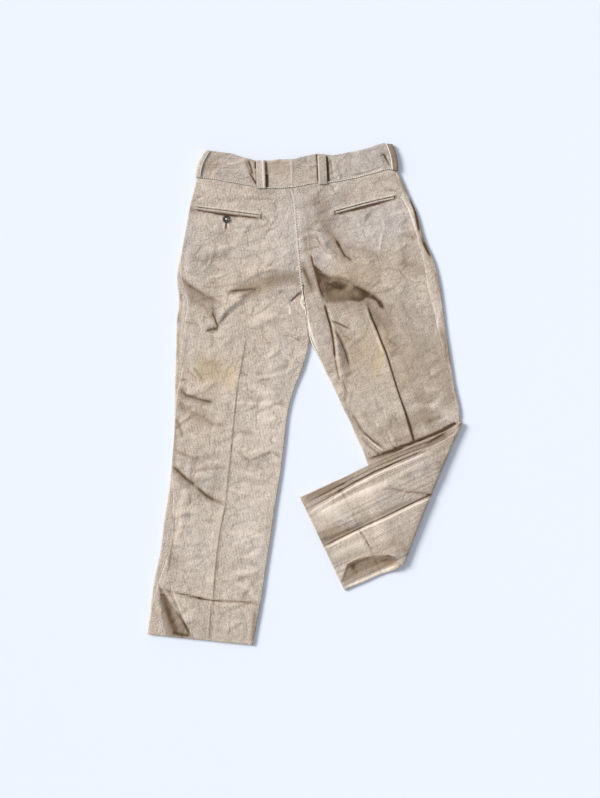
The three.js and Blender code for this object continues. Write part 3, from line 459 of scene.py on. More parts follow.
# Fine lines of painted shade, or painted highlight below zero, on the turned-over flap: points, width in
# mm, how dark.
FLAP_LINES = [
    ([(434, 492.6), (414, 501.6), (390, 513.4), (360, 527.6), (340, 537.4), (322, 546.6)], 1.6, 0.9),
    ([(436, 495), (414, 504.6), (390, 516.6), (360, 530.6), (340, 540.6), (323, 549.2)], 1.5, -0.9),
    ([(359, 529), (364, 536), (368, 543), (373, 549)], 1.2, 0.8),
    ([(342, 581), (348, 564), (360, 557.6), (380, 554.6), (396, 555)], 1.6, 0.3),
    ([(344, 583), (364, 575), (384, 566.6), (398, 560.6)], 1.5, 0.5),
    ([(345, 586.6), (364, 578.6), (384, 570), (398, 564)], 1.5, -0.6),
    ([(346, 588.6), (366, 580.6), (386, 572)], 1.1, 0.35),
    ([(448, 425), (456, 421.6), (461, 426)], 2.0, 0.5),
    ([(300.6, 498.6), (330, 484.4), (366, 466), (400, 451.4), (430, 440.4), (452, 428.6)], 1.5, 0.35),
    ([(302, 504), (330, 490), (352, 477.6), (374, 466.6), (400, 455.6), (430, 443.6)], 1.3, 0.42),
    ([(303, 507), (330, 492.6), (352, 480), (374, 468.6), (400, 457.6), (430, 445.4)], 1.3, -0.35),
    ([(304, 511), (330, 496), (352, 483), (374, 471), (400, 460), (430, 447)], 1.9, 0.75),
    ([(305, 514.6), (331, 499.4), (353, 486), (375, 474), (401, 463), (431, 450)], 1.6, -0.7),
    ([(307, 518), (332, 503), (354, 489.6), (376, 477.4), (402, 466.4), (432, 453)], 1.2, 0.3),
    ([(336, 478.4), (341, 482), (344, 484)], 1.6, 0.4), ([(338, 488), (343, 493), (345, 496)], 1.6, 0.5),
    ([(384, 489), (394, 487.6), (404, 490.4)], 2.2, 0.45),
    ([(405, 491), (418, 491.6), (432, 494)], 2.2, 0.5),
]
# Areas of painted shade on the flap: outline, softness in mm, how dark.
FLAP_AREAS = [
    ([(380, 456), (415, 441), (430, 436), (456, 424), (461, 428), (458, 436), (448, 448), (436, 450),
      (412, 458), (384, 468)], 3, 0.12),
    ([(341, 582), (347.6, 563.6), (356, 559), (368, 556.4), (388, 554), (395, 556), (400, 559),
      (384, 566), (364, 574), (344, 582)], 2.2, 0.5),
    ([(376, 553), (392, 549), (408, 548), (404, 556), (398, 562), (386, 566)], 3, 0.14),
    ([(300, 497), (330, 482.6), (366.7, 464), (400, 449), (430, 438.6), (446, 431), (448, 436),
      (430, 446), (400, 460), (366, 477), (330, 495), (304, 511)], 2.4, 0.32),
    ([(314, 533), (330, 527), (345, 522), (360, 517.5), (380, 510), (400, 502), (420, 496),
      (433, 492), (434, 493.5), (415, 501.5), (390, 513), (360, 527), (340, 537),
      (322, 546.6)], 2.8, 0.34),
]
# Broad painted shade, or painted highlight below zero, on the flap: points, width left and right, how dark.
FLAP_SHADES = [
    ([(424, 446), (434, 438), (446, 430), (456, 422)], 3, 9, 0.3),
    ([(398, 540), (404, 548), (410, 556)], 8, 8, 0.24), ([(301, 500), (318, 493), (344, 481)], 4, 8, 0.3),
    ([(310, 516), (336, 503), (366, 489), (396, 476)], 3, 14, -0.42),
    ([(317, 541), (330, 537), (346, 530.6), (362, 524)], 5, 4, 0.4),
    ([(346, 574), (354, 566), (366, 562), (382, 559.6), (398, 557.6)], 3, 6, 0.16),
    ([(346, 587.4), (368, 578.6), (396, 566.6)], 4, 4, -0.3),
    ([(386, 492), (404, 489), (430, 493)], 5, 6, 0.16),
    ([(328, 556), (346, 549), (368, 540)], 8, 10, -0.22),
    ([(344, 560), (352, 566), (358, 574)], 6, 6, 0.2), ([(420, 462), (430, 474), (428, 488)], 9, 9, 0.16),
    ([(452, 432), (440, 452), (432, 474)], 10, 12, 0.2),
    ([(456, 440), (441, 466), (430, 492), (416, 528), (404, 556)], 7, 7, 0.3),
    ([(368, 556), (382, 548), (398, 540)], 8, 8, 0.24), ([(404, 446), (424, 438), (446, 430)], 6, 6, 0.3),
    ([(350, 566), (360, 560), (372, 556)], 6, 6, 0.24),
]
# Patches of the cloth: middle and half sizes on the grid, turn in degrees,
# then how much darker (partly painted shade and light, partly the cloth's uneven tone),
# how much yellower and how much greyer it is there.
PATCHES = [
    (274, 440, 9, 50, 8, -0.1, 0.0, 0.1), (268, 412, 22, 36, 10, -0.1, 0.0, 0.25),
    (256, 486, 16, 22, 0, -0.12, 0.0, 0.25), (250, 540, 20, 40, 8, -0.08, 0.0, 0.2),
    (212, 372, 20, 16, 10, 0.04, 0.75, 0.0), (231, 378, 5, 11, -14, -0.16, 0.95, 0.0),
    (206, 362, 12, 8, 0, 0.02, 0.35, 0.0), (198, 416, 16, 20, 0, 0.03, 0.3, 0.0),
    (381, 356, 5, 22, -18, -0.14, 0.85, 0.0), (370, 350, 14, 28, -10, 0.03, 0.45, 0.0),
    (350, 352, 14, 26, 0, 0.04, 0.25, 0.0), (405, 366, 18, 26, -10, 0.02, 0.3, 0.0),
    (250, 282, 34, 9, 12, 0.02, 0.35, 0.0), (350, 284, 30, 10, -2, 0.03, 0.45, 0.0),
    (362, 268, 34, 14, 8, 0.0, 0.3, 0.0), (318, 330, 8, 26, 12, 0.03, 0.05, 0.45),
    (288, 235, 18, 44, 0, -0.08, 0.0, 0.85), (322, 210, 26, 34, 0, 0.02, 0.0, 0.75),
    (372, 226, 26, 22, 10, -0.08, 0.0, 1.0), (392, 216, 20, 16, 0, 0.0, 0.0, 0.8),
    (186, 240, 14, 60, 0, 0.03, 0.0, 0.6), (322, 262, 6, 12, 0, -0.1, 0.0, 0.6),
    (326, 252, 8, 12, 20, -0.14, 0.0, 0.5), (228, 240, 34, 30, 0, -0.02, 0.0, 0.35),
    (445, 412, 8, 12, 0, -0.18, 0.0, 0.1), (262, 316, 26, 14, 0, -0.06, 0.12, 0.15),
    (284, 352, 14, 30, -15, -0.1, 0.0, 0.45), (205, 470, 24, 20, 0, 0.02, 0.0, 0.25),
    (196, 548, 22, 36, 12, -0.03, 0.0, 0.35), (248, 540, 16, 56, 10, -0.06, 0.0, 0.4),
    (232, 620, 18, 16, 5, 0.02, 0.05, 0.3), (420, 312, 16, 30, -12, -0.06, 0.0, 0.35),
    (192, 312, 10, 14, 0, -0.02, 0.1, 0.1), (228, 294, 10, 5, -20, -0.16, 0.0, 0.1),
    (186, 346, 6, 16, 0, -0.06, 0.0, 0.6), (258, 420, 16, 30, 10, -0.06, 0.05, 0.3),
    (430, 350, 8, 40, -10, -0.05, 0.1, 0.2), (438, 320, 2, 24, -12, -0.22, 0.0, 0.2),
    (430, 280, 3, 20, -14, -0.12, 0.2, 0.1),
]
FLAP_PATCHES = [
    (334, 512, 34, 7, -26, -0.16, 0.0, 0.9), (400, 500, 26, 14, -25, 0.06, 0.0, 0.5),
    (380, 545, 24, 12, -20, -0.02, 0.1, 0.2), (424, 466, 20, 12, -40, -0.08, 0.0, 0.6),
    (330, 494, 30, 4, -26, 0.02, 0.3, 0.0), (340, 533, 22, 5, -24, 0.0, 0.55, 0.0),
    (372, 560, 26, 5, -12, 0.0, 0.4, 0.0), (398, 540, 12, 16, 20, 0.16, 0.0, 0.2),
    (316, 522, 14, 6, -26, -0.08, 0.0, 0.3), (350, 538, 18, 6, -24, -0.12, 0.0, 0.3),
]
BAND_FOLDS = [
    ([(248, 158), (250, 166), (254, 176), (257, 184)], -1.2, 3, 4),
    ([(243, 157), (246, 166), (250, 178)], 1.0, 6, 4), ([(268, 161), (270, 168), (271, 177)], -0.8, 4, 3),
    ([(212, 160), (226, 161), (240, 165)], 0.7, 6, 6), ([(278, 164), (288, 163), (300, 165)], 0.5, 6, 6),
    ([(330, 158), (333, 166), (334, 178)], -0.8, 4, 3),
    ([(346, 156), (352, 163), (362, 168), (380, 166)], -0.9, 4, 4),
    ([(350, 173), (362, 171), (380, 166)], 0.9, 5, 4), ([(362, 150), (366, 158), (374, 162)], -0.7, 3, 3),
    ([(382, 150), (387, 158), (389, 166)], -0.9, 3, 3), ([(308, 158), (310, 168), (309, 180)], 0.6, 5, 4),
]
# Fine lines of painted shade on the waistband, in its creases and beside the loops, or painted highlight
# below zero.
BAND_LINES = [
    ([(248.4, 158.6), (250.6, 165), (253, 173)], 2.2, 1.0),
    ([(250, 172), (253, 177), (256, 183)], 2.2, 0.9),
    ([(245.6, 160), (248.6, 167), (251, 172)], 1.6, 0.45),
    ([(255.4, 160), (255.8, 164), (256, 168)], 2.4, 1.4),
    ([(255.8, 168), (256, 176), (256.2, 186)], 1.6, 0.6),
    ([(266.4, 160.6), (266.8, 166), (267, 172)], 1.8, 1.1),
    ([(267, 172), (267.4, 178), (267.6, 188)], 3.0, 1.5),
    ([(269, 162), (270, 167), (270.6, 173)], 1.4, 0.5),
    ([(268.4, 161), (269.8, 170), (270.4, 178)], 1.2, -0.4),
    ([(317, 153), (317.6, 158), (317.8, 163)], 2.6, 1.5),
    ([(317.4, 163), (318, 172), (318.6, 182)], 2.4, 1.2),
    ([(326.8, 155), (327.8, 162), (328.4, 170), (328.6, 181)], 2.8, 1.5),
    ([(330, 158), (331.6, 165), (332, 174)], 2.4, 0.5),
    ([(350, 174), (362, 172), (372, 169), (382, 165)], 1.4, 0.45),
    ([(350, 176.6), (362, 174.4), (372, 171), (384, 167)], 1.2, -0.5),
    ([(338, 178), (338.6, 174)], 1.4, -0.5), ([(341, 178), (341.4, 172)], 1.4, 0.4),
    ([(346, 154), (347, 166), (346, 177)], 1.2, 0.3), ([(383, 152), (387, 158), (390, 165)], 2.2, 0.85),
    ([(380, 150), (384, 160), (386, 167)], 2.4, 0.35), ([(364, 152), (370, 160), (376, 163)], 1.6, 0.35),
    ([(293.6, 160), (293.8, 174), (294, 187)], 1.5, 0.35),
    ([(291, 158), (291.5, 174), (292, 187)], 1.1, -0.45),
    ([(208, 164), (222, 163), (236, 165)], 1.6, 0.2), ([(272, 166), (284, 164), (290, 166)], 1.6, 0.15),
    ([(298, 163), (306, 166), (314, 165)], 1.6, 0.2), ([(212, 172), (228, 172), (244, 174)], 1.6, 0.15),
]


def smooth(low, high, x):
    t = np.clip((x - low) / (high - low), 0, 1)
    return t * t * (3 - 2 * t)


def mix(a, b, t):
    return a + (b - a) * t


def bell(x, width):
    """1 where x is 0, falling off over about the width."""
    return np.exp(-((x / width) ** 2))


def raised(flat, z):
    """Places on the plane with their heights."""
    return np.concatenate([flat, z[..., None]], axis=-1)


def on_grid(points):
    """Layout grid squares to millimetres."""
    return (np.asarray(points, float) - GRID_MIDDLE) * (SQUARE, -SQUARE)


def eased(table, at):
    """A table of (place, value), eased from one entry to the next."""
    places, values = np.array(table, float).T
    i = np.clip(np.searchsorted(places, at, side="right") - 1, 0, len(places) - 2)
    return mix(values[i], values[i + 1], smooth(places[i], places[i + 1], at))


def spline(table, steps):
    """Catmull-Rom rows through a table's rows."""
    at = np.linspace(0, len(table) - 1, (len(table) - 1) * steps + 1)
    i = np.minimum(at.astype(int), len(table) - 2)
    t = (at - i)[:, None]
    p0, p1, p2, p3 = (table[np.clip(i + k, 0, len(table) - 1)] for k in (-1, 0, 1, 2))
    return 0.5 * (2 * p1 + (p2 - p0) * t + (2 * p0 - 5 * p1 + 4 * p2 - p3) * t**2
                  + (3 * p1 - p0 - 3 * p2 + p3) * t**3)


def middle_x(y):
    """Where the middle seam is at a height."""
    curve = spline(MIDDLE, 10)[::-1]
    return np.interp(y, curve[:, 0], curve[:, 1])


def left_of(edge, x, y):
    """How far a place is from a straight edge, above 0 on one side of it."""
    (x0, y0), (x1, y1) = edge
    return ((x - x0) * (y1 - y0) - (y - y0) * (x1 - x0)) / math.hypot(x1 - x0, y1 - y0)


def along_line(points, x, y):
    """How far a place is from a line, on which side, and how far along it."""
    best = np.full(x.shape, 1e9)
    side = np.ones(x.shape)
    share = np.zeros(x.shape)
    runs = np.hypot(*np.diff(points, axis=0).T)
    total, start = runs.sum(), 0.0
    for (x0, y0), (x1, y1), run in zip(points[:-1], points[1:], runs):
        dx, dy = (x1 - x0) / run, (y1 - y0) / run
        t = np.clip((x - x0) * dx + (y - y0) * dy, 0, run)
        ax, ay = x - x0 - dx * t, y - y0 - dy * t
        far = np.hypot(ax, ay)
        near = far < best
        best = np.where(near, far, best)
        side = np.where(near, np.where(dx * ay - dy * ax > 0, 1, -1), side)
        share = np.where(near, (start + t) / total, share)
        start += run
    return best, side, share


def strokes(table, x, y, ends=0.18):
    """The sum of a table's strokes at a place, each fading out at its ends."""
    total = np.zeros(x.shape)
    for points, amount, left, right in table:
        line = on_grid(points)
        reach = 2.6 * max(left, right)
        (x0, y0), (x1, y1) = line.min(0) - reach, line.max(0) + reach
        near = (x > x0) & (x < x1) & (y > y0) & (y < y1)
        if not near.any():
            continue
        far, side, share = along_line(line, x[near], y[near])
        width = np.where(side > 0, left, right)
        fade = smooth(0, ends, share) * smooth(0, ends, 1 - share)
        total[near] += amount * bell(far, width) * mix(0.12, 1, fade)
    return total


def areas(table, x, y):
    """How dark the shaded areas are at a place, softly past their outlines."""
    total = np.zeros(x.shape)
    for points, soft, dark in table:
        corners = on_grid(points)
        (x0, y0), (x1, y1) = corners.min(0) - 3 * soft, corners.max(0) + 3 * soft
        near = (x > x0) & (x < x1) & (y > y0) & (y < y1)
        if not near.any():
            continue
        px, py = x[near], y[near]
        far, _, _ = along_line(np.vstack([corners, corners[:1]]), px, py)
        inside = np.zeros(px.shape, bool)
        for (ax, ay), (bx, by) in zip(corners, np.roll(corners, -1, axis=0)):
            crosses = (ay > py) != (by > py)
            inside ^= crosses & (px < ax + (bx - ax) * (py - ay) / (by - ay + 1e-9))
        total[near] += dark * smooth(-soft, soft, np.where(inside, far, -far))
    return total


def darkened(lines, shades, x, y):
    """How much painted shade or, below zero, painted highlight the fine lines and shades give."""
    fine = strokes([(points, dark, width, width) for points, width, dark in lines], x, y, ends=0.1)
    broad = strokes([(points, dark, left, right) for points, left, right, dark in shades], x, y)
    return fine + broad


def patched(table, x, y):
    """Darker (partly painted shade and light), yellower and greyer patches of the cloth."""
    marks = np.zeros((3,) + x.shape)
    for gx, gy, half_x, half_y, turn, *amounts in table:
        cx, cy = on_grid((gx, gy))
        c, s = math.cos(math.radians(turn)), math.sin(math.radians(turn))
        u = ((x - cx) * c + (y - cy) * s) / (half_x * SQUARE)
        v = (-(x - cx) * s + (y - cy) * c) / (half_y * SQUARE)
        spread = np.exp(-((u * u + v * v) ** 1.1))
        for n, amount in enumerate(amounts):
            marks[n] += amount * spread
    return marks


def rumple(x, y, seed, size, count=14):
    """Soft unevenness with waves of about one size, between -1 and 1."""
    rng = np.random.default_rng(seed)
    total = np.zeros(x.shape)
    for _ in range(count):
        angle, length = rng.uniform(0, math.tau), size * rng.uniform(0.7, 1.5)
        phase = rng.uniform(0, math.tau)
        total += np.sin((x * math.cos(angle) + y * math.sin(angle)) * math.tau / length + phase)
    return total / math.sqrt(count) / 1.4


def crumpled(x, y, seed, size):
    """Thin winding creases, some places more than others, between 0 and 1."""
    where = smooth(0.05, 0.9, rumple(x, y, seed + 1, size * 1.6))
    return bell(rumple(x, y, seed, size), 5.0 / size) * where


def ribs(u):
    """The corduroy's ribs, seen across: a round crown and a narrow groove."""
    return RIB_DEPTH * (np.abs(np.sin(math.pi * u / RIB)) ** 0.7 - 0.75)


# ------------------------------------------------------------------ the fabric
fold_start, fold_end = RIGHT_ROWS[-1][:2], RIGHT_ROWS[-1][2:4]
fold_run = (fold_end - fold_start) / np.hypot(*(fold_end - fold_start))
fold_out = np.array([-fold_run[1], fold_run[0]])
FOLD_LENGTH = float(np.hypot(*(fold_end - fold_start)))


class Leg:
    """A leg's cloth: u runs across it from the pressed crease, v along the ribs."""

    def __init__(self, rows, side, crease, grain, flap=None, arc=0.0):
        self.side, self.arc, self.folded = side, arc, flap is not None
        self.inward = -side
        table = spline(rows, 12)
        outer, inner, seam = table[:, :2].copy(), table[:, 2:4].copy(), table[:, 4]
        near = middle_x(inner[:, 1]) + side * MIDDLE_GAP
        held = np.minimum(inner[:, 0], near) if side < 0 else np.maximum(inner[:, 0], near)
        inner[:, 0] = np.where(inner[:, 1] > SPLIT_Y, near, held)
        hem = rows[-1]
        if self.folded:
            beyond = spline(flap, 12)
            outer = np.vstack([outer, self.opened(beyond[:, :2])])
            inner = np.vstack([inner, self.opened(beyond[:, 2:4])])
            seam = np.append(seam, beyond[:, 4])
            hem = np.concatenate([self.opened(flap[-1:, :2])[0], self.opened(flap[-1:, 2:4])[0]])
        self.origin = on_grid(crease)
        self.grain = np.array(grain) / math.hypot(*grain)
        self.across = np.array([-self.grain[1], self.grain[0]])
        self.outer, self.inner = self.measured(outer), self.measured(inner)
        self.inner_y, self.seam = inner[:, 1], seam
        share = np.linspace(0, 1, 60)
        start, end = outer[0], inner[0]
        waist = start + (end - start) * share[:, None]
        waist[:, 1] += eased(BANDS["left" if side < 0 else "right"]["low_bow"], share)
        self.waist = self.measured(waist)[np.argsort(self.measured(waist)[:, 0])]
        bottom = self.measured(np.array([hem[:2], hem[2:4]]))
        self.hem = bottom[np.argsort(bottom[:, 0])]

    def opened(self, points):
        """Where a place on the flap lies when the leg is laid straight."""
        far = -(points - fold_start) @ fold_out
        return points + fold_out * (2 * far + self.arc)[:, None]

    def measured(self, points):
        """Places as u and v."""
        offset = points - self.origin
        return np.stack([offset @ self.across, offset @ self.grain], axis=1)

    def edges(self, v):
        """u at the outer and the inner edge."""
        return [np.interp(v, line[:, 1], line[:, 0]) for line in (self.outer, self.inner)]

    def ends(self, u):
        """v at the waist and at the hem, carried on straight past the sides."""
        def line(points):
            (u0, v0), (u1, v1) = points[0], points[-1]
            inside = np.interp(u, points[:, 0], points[:, 1])
            slope = (v1 - v0) / (u1 - u0)
            return inside + slope * (np.minimum(u - u0, 0) + np.maximum(u - u1, 0))
        return line(self.waist), line(self.hem)

    def shape(self, u, v):
        """The sizes of the section at a place: floor, radius and how far it closes."""
        rise = 1 - smooth(0, WAIST_SLOPE, v - self.ends(u)[0])
        floor = WAIST_FLOOR * rise
        radius = (mix(LEG_HEIGHT, WAIST_TOP, rise) - floor) / 2
        closed = 1 - smooth(CROTCH_Y - 22, CROTCH_Y + 16, np.interp(v, self.inner[:, 1], self.inner_y))
        return floor, radius, closed * math.pi / 2

    def limits(self, v, up, u_guess):
        """The cloth's edges at the side seam and the inseam, as u."""
        outer, inner = self.edges(v)
        _, radius, bend = self.shape(u_guess, v)
        start = up * (np.interp(v, self.outer[:, 1], self.seam) - up * 0.1)
        from_side = outer + self.inward * (start - radius * (math.pi / 2 - 1))
        to_middle = inner + self.inward * (radius * (bend - np.sin(bend)) + 0.12)
        return from_side, to_middle

    def surface(self, u, v, up):
        """Points, outward normals and distances to both seams, for one layer."""
        outer, inner = self.edges(v)
        floor, radius, bend = self.shape(u, v)
        quarter = radius * math.pi / 2
        from_side = self.inward * (u - outer) + quarter - radius
        to_middle = self.inward * (inner - u) + radius * (bend - np.sin(bend))
        run = up * from_side
        sign = np.where(run < 0, -1, 1)
        angle = np.minimum(np.abs(run), quarter) / radius
        s = radius * (1 - np.cos(angle)) + np.maximum(0, np.abs(run) - quarter)
        z = floor + radius + sign * radius * np.sin(angle)
        ns, nz = -np.cos(angle), sign * np.sin(angle)
        turned = np.clip(bend - to_middle / radius, 0, None)
        rolls = (turned > 0) & (to_middle < from_side)
        width = np.abs(inner - outer)
        s = np.where(rolls, width - radius * np.sin(bend) + radius * np.sin(turned), s)
        edge = floor + radius * (1 + up)
        z = np.where(rolls, edge - up * radius * (1 - np.cos(turned)), z)
        ns, nz = np.where(rolls, np.sin(turned), ns), np.where(rolls, up * np.cos(turned), nz)
        flat = self.origin + self.across * (outer + self.inward * s)[..., None] + self.grain * v[..., None]
        normals = raised(self.across * (self.inward * ns)[..., None], nz)
        seam = np.interp(v, self.outer[:, 1], self.seam)
        return raised(flat, z), normals, from_side - up * seam, to_middle, bend

    def laid(self, points, normals):
        """Carries the cloth over the fold and down to the floor beyond it."""
        if not self.folded:
            return points, normals
        far = (points[..., :2] - fold_start) @ fold_out
        angle = np.clip(far / self.arc, 0, 1) * math.pi
        arm = FOLD_AXIS - points[..., 2]
        beyond = np.maximum(far - self.arc, 0)
        along = (points[..., :2] - fold_start) @ fold_run / FOLD_LENGTH
        pressed = 1 - 0.45 * np.sin(math.pi * np.clip(along, 0, 1))
        step = np.where(far > 0, -far + pressed * arm * np.sin(angle) - beyond, 0)
        flat = points[..., :2] + fold_out * step[..., None]
        z = np.where(far > 0, FOLD_AXIS - arm * np.cos(angle), points[..., 2])
        clear = left_of(LEG_EDGE, flat[..., 0], flat[..., 1])
        sag = (2 * FOLD_AXIS - LEG_HEIGHT) * smooth(1, SAG_RUN, clear)
        z = z - np.where(beyond > 0, sag, 0)
        out, rise = normals[..., :2] @ fold_out, normals[..., 2]
        turned_out = out * np.cos(angle) - rise * np.sin(angle)
        turned_up = out * np.sin(angle) + rise * np.cos(angle)
        flat_normals = normals[..., :2] + fold_out * (turned_out - out)[..., None]
        return raised(flat, z), raised(flat_normals, turned_up)


# Each leg's pressed crease: a point of it on the grid, and the way it runs.
LEFT_CREASE = (261.5, 186), (-0.112, -0.994)
RIGHT_CREASE = (323.5, 183), (0.333, -0.943)
left_leg = Leg(LEFT_ROWS, -1, *LEFT_CREASE)
right_back = Leg(RIGHT_ROWS, 1, *RIGHT_CREASE, FLAP_ROWS, BACK_ARC)
right_front = Leg(RIGHT_ROWS, 1, *RIGHT_CREASE, FLAP_ROWS, FRONT_ARC)


def rumples_and_painted_shade(x, y, seed):
    """Rumples and small creases all over: their height, and their painted shade, or painted highlight below
    zero.
    """
    small = (crumpled(x, y, seed + 40, 46) + crumpled(x, y, seed + 50, 74)
             + 0.7 * crumpled(x, y, seed + 60, 28))
    height = 0.9 * rumple(x, y, seed, 74) + 0.5 * rumple(x, y, seed + 5, 25, 20) - 0.8 * small
    # Crests and hollows that run mostly across the garment.
    slant_x, slant_y = 0.42 * x + 0.1 * y, y - 0.2 * x
    some = smooth(-0.35, 0.6, rumple(x, y, seed + 71, 110))
    crests = bell(rumple(slant_x, slant_y, seed + 70, 52), 0.24) * some
    hollows = bell(rumple(slant_x, slant_y, seed + 74, 44), 0.2) * some
    sharp = (bell(rumple(0.6 * x + 0.3 * y, y - 0.3 * x, seed + 76, 30), 0.12)
             * smooth(0.05, 0.9, rumple(x, y, seed + 77, 60)))
    # The second value is painted shade in hollows and sharp creases, and painted highlight on crests.
    return (height + 1.6 * crests - 1.2 * hollows - 0.9 * sharp,
            0.2 * small + 0.26 * hollows + 0.34 * sharp - 0.18 * crests)


def top_relief(x, y):
    """The creases and rumples of the cloth that faces up, with their painted shade and highlight."""
    small, small_painted_shade = rumples_and_painted_shade(x, y, 4)
    height = np.clip(strokes(FOLDS, x, y), -1.5, 5.0) + strokes(PRESSED, x, y, ends=0.03) + small
    dark = darkened(LINES, SHADES, x, y) + areas(AREAS, x, y)
    return height, dark + small_painted_shade * (1 - 0.85 * smooth(0.15, 0.5, dark))


def flap_relief(x, y):
    """The same for the part of the right leg that is turned over."""
    small, small_painted_shade = rumples_and_painted_shade(x, y, 5)
    return (strokes(FLAP_FOLDS, x, y, ends=0.06) + 0.35 * small,
            darkened(FLAP_LINES, FLAP_SHADES, x, y) + areas(FLAP_AREAS, x, y) + 0.3 * small_painted_shade)


def under_relief(x, y):
    """The hidden side lies flat, with a few soft pressed creases."""
    return -0.22 * (1 + rumple(x, y, 12, 50)), np.clip(0.12 * rumple(x, y, 13, 40), 0, 1)


# ------------------------------------------------------------------ mesh making
NO_MARKS = dict.fromkeys(("dark", "yellow", "grey", "edge", "nap"), 0.0)
EDGE_REACH = 36  # how far past its edges a leg's cloth is laid out, to go round them


def mesh_of(name, bm):
    mesh = bpy.data.meshes.new(name)
    bm.to_mesh(mesh)
    bm.free()
    return mesh


def linked(name, mesh, material):
    """A smooth object of its own, at the origin."""
    mesh.shade_smooth()
    mesh.materials.append(material)
    made = bpy.data.objects.new(name, mesh)
    bpy.context.scene.collection.objects.link(made)
    return made


def grid_piece(name, points, normals, marks, material, cloth_uv):
    """A sheet through rows and columns of points, in mm, with its marks."""
    rows, columns = points.shape[:2]
    bm = bmesh.new()
    bmesh.ops.create_grid(bm, x_segments=columns - 1, y_segments=rows - 1, size=1)
    mesh = mesh_of(name, bm)
    places = points.reshape(-1, 3) * MM
    places[:, :2] += SHIFT * MM
    mesh.vertices.foreach_set("co", places.astype(np.float32).ravel())
    layers = {"cloth_u": cloth_uv[0], "cloth_v": cloth_uv[1], **NO_MARKS, **marks}
    for layer, values in layers.items():
        values = np.broadcast_to(values, (rows, columns)).astype(np.float32)
        mesh.attributes.new(layer, "FLOAT", "POINT").data.foreach_set("value", values.ravel())
    mesh.update()
    middle = mesh.polygons[len(mesh.polygons) // 2 + columns // 2]
    facing = Vector(normals.reshape(-1, 3)[list(middle.vertices)].sum(0))
    bm = bmesh.new()
    bm.from_mesh(mesh)
    if middle.normal.dot(facing) < 0:
        bmesh.ops.reverse_faces(bm, faces=bm.faces)
    bmesh.ops.remove_doubles(bm, verts=bm.verts, dist=0.00002)
    bmesh.ops.dissolve_degenerate(bm, edges=bm.edges, dist=0.00001)
    bm.to_mesh(mesh)
    bm.free()
    mapped = np.empty((len(mesh.vertices), 2), np.float32)
    for n, layer in enumerate(("cloth_u", "cloth_v")):
        values = np.empty(len(mesh.vertices), np.float32)
        mesh.attributes[layer].data.foreach_get("value", values)
        mapped[:, n] = values * MM
    corners = np.empty(len(mesh.loops), np.int32)
    mesh.loops.foreach_get("vertex_index", corners)
    mesh.uv_layers.new(name="cloth").data.foreach_set("uv", mapped[corners].ravel())
    for layer in ("cloth_u", "cloth_v"):
        mesh.attributes.remove(mesh.attributes[layer])
    return linked(name, mesh, material)


